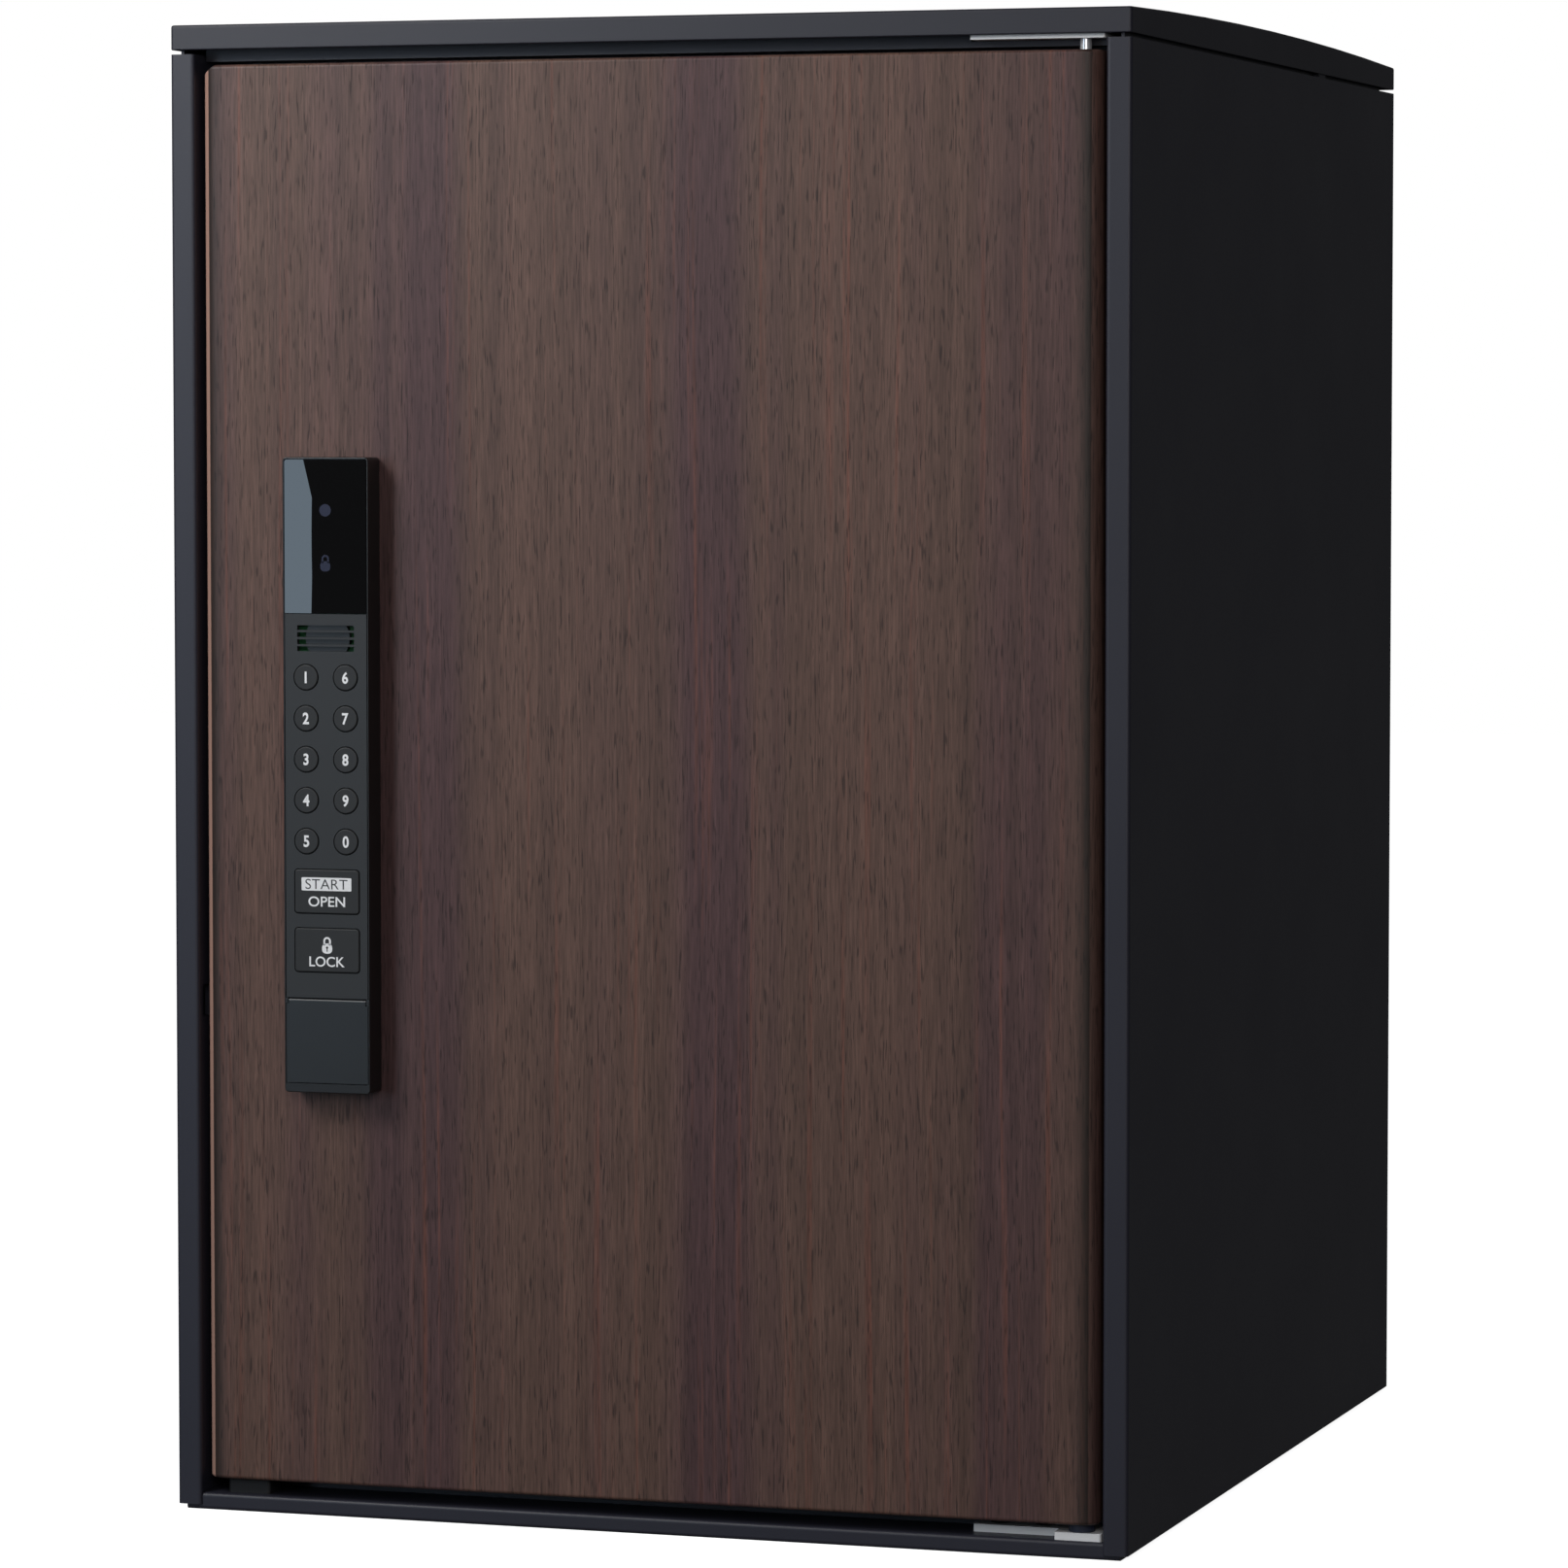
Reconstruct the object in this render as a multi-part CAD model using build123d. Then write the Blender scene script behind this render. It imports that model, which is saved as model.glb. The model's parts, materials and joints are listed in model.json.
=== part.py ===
from build123d import *
import math
import os

# Parcel locker for the home: a sheet-metal cabinet with a roof cap, a door on
# two pin hinges, and a keypad lock unit standing on the door.
# Frame: +Z up, the door faces -Y, origin in the middle of the footprint, on the floor.
# All sizes in millimetres.

# --- overall size -----------------------------------------------------------
WIDTH = 390.0
DEPTH = 450.0
HEIGHT = 590.0
SHEET = 1.2               # cabinet sheet
BEND = 0.3                # inner radius of a sharp fold
FIT = 0.2                 # gap between pieces that are assembled side by side

# --- roof -------------------------------------------------------------------
ROOF_SKIRT = 9.7          # height of the skirt at the front and back
ROOF_CROWN = 3.3          # rise of the arched top above the skirt
ROOF_WALL = 2.0
ROOF_EDGE = 1.4           # rounding of the outer edges
SKIRT_EDGE = 0.5          # and of the skirt's lower edge
SHADOW_GAP = 1.7          # open gap between the skirt and the side panels
NECK_SIDE = 3.6           # how far the neck in the gap stands back at the sides
NECK_BACK = 14.0          # and at the back
NECK_FRONT = 2.5
DECK_LIFT = 1.4           # deck underside above the skirt's lower edge
NECK_FLANGE = 26.0        # side and back flanges of the top panel
BOSS_R = 4.0
CLIP = (12.0, 2.6)        # length and width of the tab that carries the roof's edge
CLIP_PLACE = 0.7          # share of the depth, from the front, at which it stands
ROOF_SCREW = (1.5, 3.0, 1.8)  # radius, head radius and head height
ROOF_SCREW_INSET = (40.0, 70.0)  # from the sides, and from the front and back
ROOF_SCREW_REACH = 4.0    # screw in the boss above the deck

# --- side panels ------------------------------------------------------------
STRIP = 10.0              # front strip beside the door
SIDE_LIFT = 2.1           # lower edge above the floor
JAMB_FLANGE = 22.0        # flange that the gasket stands on
REAR_FLANGE = 15.0

# --- base and floor ---------------------------------------------------------
PAN_INSET = 3.4           # base pan inside the cabinet's width, each side
PAN_SHEET = 1.5
PAN_HEIGHT = 6.7
PAN_BEND = 1.5
PAN_LEDGE = 36.0          # folded ledge along the front and the back
SILL_HEIGHT = 25.3        # sill above the base pan
TRAY_FLANGE = 18.0
MAT = 2.0
MAT_GAP = 1.5
RUNNER_WIDTH = 30.0
RUNNER_COUNT = 3
RUNNER_MARGIN = 5.0       # from the ledges of the base pan
ANCHOR_SPAN = (300.0, 320.0)
ANCHOR_R = 4.5
WALL_SPAN = (260.0, 350.0)
WALL_LOW = 120.0
WALL_R = 4.5
RIVET_R = 2.0
RIVET_COUNT = 5
RIVET_MARGIN = 40.0       # from the upper and lower edges

# --- door -------------------------------------------------------------------
DOOR_GAP = 2.5            # between the door and the front strips
DOOR_FOOT = 6.3           # door above the base pan
DOOR_HEAD = 4.3           # door below the side panels' top
DOOR_T = 22.0
SKIN = 1.0
ROLL = 6.5                # radius of the rolled upright edges
DOOR_EDGE = 1.5           # bend along the top and bottom edges
LIP = 14.0                # lip folded in behind the door
LINER_T = 3.0             # rim of the inner cover
LINER_WEB = 2.0
LINER_INSET = 6.5
CORNER_CUT = (6.2, 4.2)   # cut at the top corner of the free edge
GASKET_T = 5.0            # room between the door and the jamb
GASKET_W = 8.0
GASKET_INSET = 2.0
GASKET_FREE = 0.3         # gap left between gasket and door
GASKET_CORNER = 3.0
LINER_SCREWS = 5
LINER_SCREW_R = 1.5
LINER_SCREW_INSET = 5.0   # from the inner cover's edge
LINER_SEAT = 4.0          # rim of the inner cover beyond the folded lip
LINER_CORNER = 4.0

# --- hinges -----------------------------------------------------------------
PIVOT_INSET = 7.5         # hinge axis from the door's edge
PIVOT_DEPTH = 8.0         # hinge axis behind the door's face
PIN_R = 2.25
RUNNING = 0.05            # radial clearance of turning parts
PIN_REACH = 14.0          # pin inside the door
PLATE_T = 3.0
PLATE_LENGTH = 53.0
PLATE_STEP = 11.0         # front edge of the long part, behind the front
PLATE_LOBE = 3.0          # front edge of the part that holds the pin
PLATE_LOBE_W = 18.6
PLATE_BACK = 25.0
PLATE_BEYOND = 8.8        # plate beyond the hinge axis
PLATE_CORNER = 1.0
PLATE_SCREW_R = 2.0
PLATE_SCREWS = (9.0, 27.0)  # from the end of the plate
PIN_EDGE = 0.5
BUSH_R = 4.0
BUSH_FLANGE_R = 5.0
BLOCK = (26.0, 17.0)      # length and height of the blocks that hold the bushes

# --- top rail ---------------------------------------------------------------
RAIL_BACK = 12.0          # front lip behind the cabinet's front
RAIL_DROP = 4.1           # front lip below the roof skirt
HEAD_FLANGE = 21.9        # flange down behind the door's top
RAIL_RETURN = 15.0

# --- keypad unit ------------------------------------------------------------
UNIT_W = 35.9
UNIT_H = 248.3
UNIT_LOW = 169.4          # lower edge above the floor
UNIT_CENTRE = 57.15       # centre line from the door's free edge
UNIT_PROUD = 12.5
UNIT_CORNER = 1.6
UNIT_RIM = 0.6
UNIT_EDGE = 0.4           # rounding of the rim's outer edge
UNIT_WALL = 2.15
FACE_GAP = 0.3
FACE_T = 2.0
UNIT_SEAL = 0.6
FACE_LEDGE = 2.0          # ledge behind the faceplate and the display
EAR = (4.3, 5.0, 6.0)     # width, depth and height of the ears for its screws
UNIT_SCREW = (1.2, 2.6, 1.6)  # radius, head radius and head height
UNIT_SCREW_REACH = 5.0
UNIT_SCREW_PLACES = (20.0, 40.0)  # above the key cover, and below the top
CHIN = 3.6                # solid bar below the key cover
COVER_H = 33.1
DISPLAY_H = 59.8
POCKET = 6.0              # depth of the pocket behind the key cover
POCKET_WALL = 2.0
HINGE_IN = 1.1            # key cover's axis inside its top front edge
COVER_T = 2.4
COVER_LIP = 0.5
COVER_PIN_R = 0.5
WING = 0.65               # lip of the key cover beyond its body, each side
WING_GAP = 0.45           # room above the lip for it to turn
KEY_PITCH = (16.5, 16.0)
KEY_ROWS = 5
KEY_R = 5.0
KEY_GAP = 0.3
KEY_PROUD = 0.4
KEY_DEPTH = 3.0
KEY_FLANGE = 0.9
KEY_EDGE = 0.5
KEY_FIRST = 25.0          # top row below the display
WIDE_KEY = (27.0, 17.2)
WIDE_CORNER = 1.4
START_DROP = 108.6        # middle of the start key below the display
LOCK_DROP = 131.6
KEY_TRAVEL = 1.0
SLOTS = 4
SLOT = (23.8, 1.9)
SLOT_PITCH = 2.75
SLOT_DROP = 9.75          # middle of the grille below the display
MAT_T = 0.8
BOARD_T = 1.6
SPEAKER = (9.2, 2.4, 4.1)  # radius and depth of the can, radius of the magnet
CHIP = (10.0, 1.4)        # side and height
CHIP_PLACE = 25.0         # above the display's lower edge
LED = 2.4
LED_DROPS = (19.7, 40.3)  # status lamps below the top of the display

# --- lock -------------------------------------------------------------------
MODULE = 0.8
PRESSURE = math.radians(20)
FLANK_STEPS = 6
PINION_TEETH = 15
MOTOR_TEETH = 14
GEAR_T = 6.0
BACKLASH = 0.2
PLUG_R = 5.0
PLUG_PROUD = 1.5
STEM_R = 3.0
PLUG_EDGE = 0.4
KEYWAY = (1.2, 6.0, 5.0)
BOLT = (8.0, 11.8)        # thickness and height
BOLT_RECESS = 1.0         # tip inside the door's edge when open
BOLT_SLIDE = 0.2          # clearance round the bolt
BOLT_TAIL = 16.0          # bolt beyond the pinion's axis
BOLT_EDGE = 0.8
CASE_WALL = 1.5
CASE_FRONT = 3.8
MOTOR_R = 5.0
MOTOR_LENGTH = 9.0
SHAFT_R = 0.75
STRIKE_T = 2.0
STRIKE_RIM = (8.0, 3.0)   # round the bolt's hole, and in front of it
CATCH = (7.0, 40.0)
CATCH_HEIGHT = 330.0
CATCH_INSET = 1.0         # from the door's edge and from the opening
BUMPER = (18.0, 12.0, 1.5)  # width, depth and corner of the pad below the door
BUMPER_INSET = (6.5, 6.0)
BUMPER_GAP = 1.0

# --- battery ----------------------------------------------------------------
CELL_R = 7.1
CELL_LENGTH = 49.2
CELL_NUB = (2.6, 1.0)
CELLS = 4
CELL_PITCH = 15.0
BOX_WALL = 1.5
BOX_CENTRE = (-30.0, 290.0)
COVER_RIM = 4.0
CABLE = (8.0, 1.0)
CABLE_DEPTH = 5.0         # run of the cable behind the door's face

# --- stiffeners of the door -------------------------------------------------
HAT = (26.0, 12.0)        # width over the crown, and of each foot
HAT_PLACES = (52.0, 118.0)

# --- worked out -------------------------------------------------------------
HALF = WIDTH / 2
FRONT = -DEPTH / 2
BACK = DEPTH / 2
ROOF_LOW = HEIGHT - ROOF_CROWN - ROOF_SKIRT
SIDE_TOP = ROOF_LOW - SHADOW_GAP
DECK = ROOF_LOW + DECK_LIFT
OPENING = HALF - STRIP                 # half width between the strips
DOOR_HALF = OPENING - DOOR_GAP
DOOR_LOW = PAN_HEIGHT + DOOR_FOOT
DOOR_TOP = SIDE_TOP - DOOR_HEAD
JAMB = FRONT + DOOR_T + GASKET_T       # plane that the gasket stands on
JAMB_EDGE = OPENING - JAMB_FLANGE
INNER = HALF - SHEET                   # inner face of the side walls
NECK = HALF - NECK_SIDE
LIP_BACK = FRONT + DOOR_T - LINER_T
PIVOT = (DOOR_HALF - PIVOT_INSET, FRONT + PIVOT_DEPTH)
PLATE_END = PIVOT[0] + PLATE_BEYOND
PLATE_START = PLATE_END - PLATE_LENGTH
BACK_PANEL = BACK - 2 * SHEET          # front face of the back panel
UNIT_X = UNIT_CENTRE - DOOR_HALF
UNIT_FACE = FRONT - UNIT_PROUD
UNIT_BACK = FRONT - UNIT_SEAL
UNIT_TOP = UNIT_LOW + UNIT_H
RECESS = UNIT_W / 2 - UNIT_RIM
FACE_HALF = RECESS - FACE_GAP
CAVITY = UNIT_W / 2 - UNIT_WALL
WINDOW = CAVITY - EAR[0]                  # half width of the opening in the door behind the unit
COVER_LOW = UNIT_LOW + CHIN + FACE_GAP
COVER_TOP = COVER_LOW + COVER_H
FACE_LOW = COVER_TOP + FACE_GAP
DISPLAY_TOP = UNIT_TOP - UNIT_RIM - FACE_GAP
DISPLAY_LOW = DISPLAY_TOP - DISPLAY_H
FACE_TOP = DISPLAY_LOW - FACE_GAP
COVER_AXIS = (UNIT_FACE + HINGE_IN, COVER_TOP - HINGE_IN)
WING_TOP = COVER_AXIS[1] - HINGE_IN - FACE_GAP  # the cover is narrower above, where it turns
COVER_HALF = FACE_HALF - WING - FACE_GAP        # half width of the cover's body
PLUG_Z = (COVER_LOW + COVER_TOP) / 2
PINION_R = MODULE * PINION_TEETH / 2
MOTOR_GEAR_R = MODULE * MOTOR_TEETH / 2
ADDENDUM = 0.75 * MODULE
DEDENDUM = 1.05 * MODULE
BOLT_LOW = PLUG_Z + PINION_R + DEDENDUM
CASE_FACE = FRONT + SKIN
CHAMBER = CASE_FACE + CASE_FRONT       # front face of the room for bolt and gears
CHAMBER_BACK = CHAMBER + BOLT[0] + 2 * BOLT_SLIDE
GEAR_FACE = CHAMBER + BOLT_SLIDE
MOTOR_Z = PLUG_Z - PINION_R - MOTOR_GEAR_R - RUNNING
BOLT_TRAVEL = PINION_R * math.pi / 2
CELL_BOX = (CELLS * CELL_PITCH + 2 * FIT, CELL_LENGTH + CELL_NUB[1] + 2 * FIT)


# --- helpers ----------------------------------------------------------------
def block(x, y, z):
    """A box between two planes on each axis, given as pairs."""
    (x0, x1), (y0, y1), (z0, z1) = sorted(x), sorted(y), sorted(z)
    middle = Pos((x0 + x1) / 2, (y0 + y1) / 2, (z0 + z1) / 2)
    return middle * Box(x1 - x0, y1 - y0, z1 - z0)


def both(half):
    """A pair of planes on either side of the middle."""
    return (-half, half)


def rod(axis, place, radius, span):
    """A cylinder along X, Y or Z through place, between two planes on that axis."""
    low, high = sorted(span)
    turn = {"x": Rot(0, 90, 0), "y": Rot(90, 0, 0), "z": Rot(0, 0, 0)}[axis]
    index = "xyz".index(axis)
    centre = list(place[:index]) + [(low + high) / 2] + list(place[index:])
    return Pos(*centre) * turn * Cylinder(radius, high - low)


def folded(path, thickness, bend):
    """Section of a sheet folded along path, lying to the left of it."""
    count = len(path)
    side = []
    for index in range(count - 1):
        (x0, y0), (x1, y1) = path[index], path[index + 1]
        length = math.hypot(x1 - x0, y1 - y0)
        side.append(((x1 - x0) / length, (y1 - y0) / length))
    shifted = []
    turns = []
    for index, (x, y) in enumerate(path):
        before = side[max(index - 1, 0)]
        after = side[min(index, count - 2)]
        cross = before[0] * after[1] - before[1] * after[0]
        dot = before[0] * after[0] + before[1] * after[1]
        reach = thickness / (1 + dot)
        shifted.append((x - (before[1] + after[1]) * reach, y + (before[0] + after[0]) * reach))
        turns.append(cross)
    section = make_face(Polyline(*path, *reversed(shifted), close=True))
    for index in range(1, count - 1):
        outer = turns[index] > 0
        for point, radius in (
            (path[index], bend + thickness if outer else bend),
            (shifted[index], bend if outer else bend + thickness),
        ):
            if radius > 0.01:
                corner = section.vertices().sort_by_distance((point[0], point[1], 0))[0]
                section = fillet(corner, radius)
    return section


def upright(section, z):
    """Extrude a section drawn in the XY plane between two heights."""
    return Pos(0, 0, z[0]) * extrude(section, z[1] - z[0])


def across(section, x):
    """Extrude a section drawn as (y, z) between two X planes."""
    plane = Plane(origin=(x[0], 0, 0), x_dir=(0, 1, 0), z_dir=(1, 0, 0))
    return extrude(plane * section, x[1] - x[0])


def from_front(section, y):
    """Extrude a section drawn as (x, z) between two Y planes."""
    plane = Plane(origin=(0, y[1], 0), x_dir=(1, 0, 0), z_dir=(0, -1, 0))
    return extrude(plane * section, y[1] - y[0])


def rounded_plate(x, z, y, radius):
    """A plate facing -Y with rounded corners."""
    size = RectangleRounded(x[1] - x[0], z[1] - z[0], radius)
    return from_front(Pos((x[0] + x[1]) / 2, (z[0] + z[1]) / 2) * size, y)


def flat_screw(axis, place, face, direction, radius, length):
    """A countersunk screw whose flat head lies on the plane face."""
    head = radius * 0.9
    sink = {"y": Rot(-90 * direction, 0, 0), "z": Rot(0 if direction > 0 else 180, 0, 0)}[axis]
    index = "xyz".index(axis)
    middle = face + direction * head / 2
    centre = list(place[:index]) + [middle] + list(place[index:])
    cone = Pos(*centre) * sink * Cone(2 * radius, radius, head)
    return cone + rod(axis, place, radius, (face + direction * head, face + direction * length))


def save(node, *pieces):
    """Write the separate solids of one node."""
    solids = [solid for piece in pieces for solid in piece.solids()]
    shape = solids[0] if len(solids) == 1 else Compound(solids)
    export_step(shape, f"parts/{node}.step")


# --- cabinet ----------------------------------------------------------------
def anchor_places():
    return [(sx * ANCHOR_SPAN[0] / 2, sy * ANCHOR_SPAN[1] / 2) for sx in (-1, 1) for sy in (-1, 1)]


def wall_places():
    return [(sx * WALL_SPAN[0] / 2, WALL_LOW + sz * WALL_SPAN[1]) for sx in (-1, 1) for sz in (0, 1)]


def base_pan():
    front, back = FRONT + SHEET + FIT / 2, BACK - SHEET - FIT / 2
    path = [
        (front + PAN_LEDGE, PAN_HEIGHT), (front, PAN_HEIGHT), (front, 0.0),
        (back, 0.0), (back, PAN_HEIGHT), (back - PAN_LEDGE, PAN_HEIGHT),
    ]
    pan = across(folded(path, PAN_SHEET, PAN_BEND - PAN_SHEET), both(HALF - PAN_INSET))
    for place in anchor_places():
        pan -= rod("z", place, ANCHOR_R, (-1, PAN_HEIGHT))
    for place in plate_screw_places():
        pan -= rod("z", place, PLATE_SCREW_R + FIT / 2, (PAN_SHEET, PAN_HEIGHT + 1))
    return pan


def floor_runners():
    """Channels between the bottom sheet and the floor, clear of the anchors."""
    room = ANCHOR_SPAN[0] - 2 * (ANCHOR_R + RUNNER_WIDTH)
    pitch = room / (RUNNER_COUNT - 1)
    end = DEPTH / 2 - SHEET - PAN_LEDGE - RUNNER_MARGIN
    runners = []
    for index in range(RUNNER_COUNT):
        middle = -room / 2 + index * pitch
        half = RUNNER_WIDTH / 2
        outer = block((middle - half, middle + half), both(end), (PAN_SHEET, PAN_HEIGHT))
        hollow = block((middle - half + SHEET, middle + half - SHEET), both(end),
                       (PAN_SHEET, PAN_HEIGHT - SHEET))
        runners.append(outer - hollow)
    return runners


def floor_panel():
    top = PAN_HEIGHT + SHEET
    deck_front = JAMB + SHEET + FIT
    deck = block(both(NECK), (deck_front, BACK_PANEL), (PAN_HEIGHT, top))
    sill_half = JAMB_EDGE - FIT
    deck += block(both(sill_half), (JAMB, deck_front), (PAN_HEIGHT, top))
    deck += block(both(sill_half), (JAMB, JAMB + SHEET), (PAN_HEIGHT, PAN_HEIGHT + SILL_HEIGHT))
    deck += block(both(NECK), (BACK_PANEL - SHEET, BACK_PANEL), (PAN_HEIGHT, top + TRAY_FLANGE))
    for side in (-1, 1):
        deck += block((side * NECK, side * (NECK - SHEET)), (deck_front, BACK_PANEL),
                      (PAN_HEIGHT, top + TRAY_FLANGE))
    for place in anchor_places():
        deck -= rod("z", place, ANCHOR_R, (PAN_HEIGHT - 1, top + 1))
    return deck


def floor_mat():
    low = PAN_HEIGHT + SHEET
    mat = block(both(NECK - SHEET - MAT_GAP),
                (JAMB + 2 * SHEET + FIT, BACK_PANEL - SHEET - MAT_GAP), (low, low + MAT))
    for place in anchor_places():
        mat -= rod("z", place, 2 * ANCHOR_R, (low - 1, low + MAT + 1))
    return mat


def side_panel(side):
    edge = OPENING - JAMB_FLANGE
    path = [(edge, JAMB), (OPENING, JAMB), (OPENING, FRONT), (HALF, FRONT), (HALF, BACK),
            (HALF - REAR_FLANGE, BACK)]
    panel = upright(folded(path, SHEET, BEND), (SIDE_LIFT, SIDE_TOP))
    panel -= block((0, HALF - SHEET), (FRONT + SHEET, JAMB + 2 * SHEET), (0, PAN_HEIGHT + FIT))
    panel -= block((0, HALF - SHEET), (BACK - SHEET, BACK + 1), (0, PAN_HEIGHT + FIT))
    for height in rivet_heights():
        panel -= rod("y", (HALF - REAR_FLANGE / 2, height), RIVET_R, (BACK - 2 * SHEET, BACK + 1))
    if side < 0:
        panel = mirror(panel, Plane.YZ)
        panel -= bolt_hole((-OPENING - 2 * SHEET, -OPENING + 1), 2 * BOLT_SLIDE)
    return panel


def bolt_hole(x, gap):
    """Way for the bolt through an upright wall."""
    return block(x, (GEAR_FACE - gap, GEAR_FACE + BOLT[0] + gap),
                 (BOLT_LOW - gap, BOLT_LOW + BOLT[1] + gap))


def rivet_heights():
    low, high = PAN_HEIGHT + RIVET_MARGIN, SIDE_TOP - RIVET_MARGIN
    return [low + index * (high - low) / (RIVET_COUNT - 1) for index in range(RIVET_COUNT)]


def rear_rivets():
    return [rod("y", (side * (HALF - REAR_FLANGE / 2), height), RIVET_R, (BACK_PANEL, BACK))
            for side in (-1, 1) for height in rivet_heights()]


def back_panel():
    low = PAN_HEIGHT + FIT
    path = [(BACK - NECK_BACK, SIDE_TOP - NECK_FLANGE / 2), (BACK - NECK_BACK, SIDE_TOP),
            (BACK - SHEET, SIDE_TOP), (BACK - SHEET, low)]
    panel = across(folded([(y, z) for y, z in reversed(path)], SHEET, BEND), both(INNER - BEND - FIT))
    for place in wall_places():
        panel -= rod("y", place, WALL_R, (BACK_PANEL - 1, BACK + 1))
    for side in (-1, 1):
        for height in rivet_heights():
            panel -= rod("y", (side * (HALF - REAR_FLANGE / 2), height), RIVET_R, (BACK_PANEL - 1, BACK))
    return panel


def top_panel():
    """Deck below the roof, with flanges inside the side and back panels."""
    rear = BACK - NECK_BACK
    flange_front = JAMB + SHEET + FIT
    deck = block(both(NECK), (FRONT + NECK_FRONT, rear), (DECK, DECK + SHEET))
    low = SIDE_TOP - NECK_FLANGE
    for side in (-1, 1):
        neck = (side * NECK, side * (NECK - SHEET))
        deck += block(neck, (flange_front, rear), (low, DECK))
        deck += block(neck, (FRONT + NECK_FRONT, flange_front), (SIDE_TOP, DECK))
        middle = FRONT + CLIP_PLACE * DEPTH
        deck += block((side * (NECK - SHEET), side * (NECK + CLIP[1])),
                      (middle - CLIP[0] / 2, middle + CLIP[0] / 2), (SIDE_TOP, ROOF_LOW))
    deck += block(both(NECK), (rear - SHEET, rear), (low, DECK))
    for place in roof_screw_places():
        deck -= rod("z", place, ROOF_SCREW[0] + FIT / 2, (DECK - 1, DECK + SHEET + 1))
    for place in plate_screw_places():
        deck -= rod("z", place, PLATE_SCREW_R + FIT / 2, (DECK - 1, DECK + SHEET + 1))
    return deck


def spacer_strips():
    """Strips between the flanges and the side walls, at the floor and at the top."""
    heights = [(PAN_HEIGHT + SHEET, PAN_HEIGHT + TRAY_FLANGE), (SIDE_TOP - NECK_FLANGE, SIDE_TOP - FIT)]
    run = (JAMB + 2 * SHEET, BACK - NECK_BACK - SHEET)
    return [block((side * NECK, side * INNER), run, z) for side in (-1, 1) for z in heights]


def roof_shape(inset, low):
    """Arched block of the roof, drawn in by inset on every outer face."""
    edge = HEIGHT - ROOF_CROWN - inset
    front, back = FRONT + inset, BACK - inset
    arch = ThreePointArc((front, edge), (0, HEIGHT - inset), (back, edge))
    walls = Polyline((back, edge), (back, low), (front, low), (front, edge))
    return across(make_face(Curve() + [arch, walls]), both(HALF - inset))


def roof_cap():
    outer = roof_shape(0, ROOF_LOW)
    uprights = outer.edges().filter_by(Axis.Z)
    outer = fillet(uprights, ROOF_EDGE)
    rim = [edge for edge in outer.edges() if edge.center().Z > HEIGHT - ROOF_CROWN - 0.5]
    outer = fillet(rim, ROOF_EDGE * 0.7)
    outer = fillet(outer.faces().sort_by(Axis.Z)[0].edges(), SKIRT_EDGE)
    cap = outer - roof_shape(ROOF_WALL, ROOF_LOW - 1)
    for place in roof_screw_places():
        cap += rod("z", place, BOSS_R, (DECK + SHEET, HEIGHT)) & roof_shape(ROOF_WALL / 2, ROOF_LOW)
        cap -= rod("z", place, ROOF_SCREW[0], (ROOF_LOW, DECK + SHEET + ROOF_SCREW_REACH + 2 * FIT))
    return cap


def roof_screw_places():
    x, y = HALF - ROOF_SCREW_INSET[0], DEPTH / 2 - ROOF_SCREW_INSET[1]
    return [(sx * x, sy * y) for sx in (-1, 1) for sy in (-1, 0, 1)]


def cabinet_screws():
    """Screws up into the roof, and the ones that hold the hinge plates."""
    screws = []
    radius, head_radius, head = ROOF_SCREW
    for place in roof_screw_places():
        shank = rod("z", place, radius - RUNNING, (DECK - head / 2, DECK + SHEET + ROOF_SCREW_REACH))
        screws.append(shank + rod("z", place, head_radius, (DECK - head, DECK)))
    for place in plate_screw_places():
        screws.append(flat_screw("z", place, PAN_HEIGHT + PLATE_T, -1, PLATE_SCREW_R, PLATE_T + PAN_SHEET))
        screws.append(flat_screw("z", place, DECK - PLATE_T, 1, PLATE_SCREW_R, PLATE_T + SHEET))
    return screws


def top_rail():
    low = ROOF_LOW - RAIL_DROP
    clear = OPENING - FIT
    lip = block(both(clear), (FRONT + RAIL_BACK, FRONT + RAIL_BACK + SHEET), (low, DECK))
    shelf = block(both(clear), (FRONT + RAIL_BACK, JAMB - FIT), (low, low + SHEET))
    sill_half = JAMB_EDGE - FIT
    shelf += block(both(sill_half), (JAMB - 2 * FIT, JAMB + SHEET), (low, low + SHEET))
    drop = block(both(sill_half), (JAMB, JAMB + SHEET), (low - HEAD_FLANGE, low + SHEET))
    drop += block(both(sill_half), (JAMB, JAMB + RAIL_RETURN), (low - HEAD_FLANGE, low - HEAD_FLANGE + SHEET))
    rail = lip + shelf + drop
    notch_low = DECK - PLATE_T - FIT
    rail -= block((PLATE_START - 2, HALF), (FRONT, JAMB + PLATE_T), (notch_low, DECK + 1))
    return rail


def plate_screw_places():
    y = FRONT + (PLATE_STEP + PLATE_BACK) / 2 + 1
    return [(PLATE_START + run, y) for run in PLATE_SCREWS]


def hinge_plate(low, lobe):
    """Plate with a lobe of that width that holds the pin, screwed flat to the cabinet."""
    z = (low, low + PLATE_T)
    plate = block((PLATE_START, PLATE_END), (FRONT + PLATE_STEP, FRONT + PLATE_BACK), z)
    plate += block((PLATE_END - lobe, PLATE_END), (FRONT + PLATE_LOBE, FRONT + PLATE_BACK), z)
    corners = plate.edges().filter_by(Axis.Z)
    outer = [edge for edge in corners if edge.center().Y < FRONT + PLATE_STEP - 1 or
             edge.center().X < PLATE_START + 1]
    plate = fillet(outer, PLATE_CORNER)
    return plate - rod("z", PIVOT, PIN_R, (low - 1, low + PLATE_T + 1))


def plate_bores(plate, face, direction):
    """Countersunk holes for the plate's two screws."""
    for place in plate_screw_places():
        plate -= flat_screw("z", place, face, direction, PLATE_SCREW_R, PLATE_T + 1)
    return plate


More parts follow.
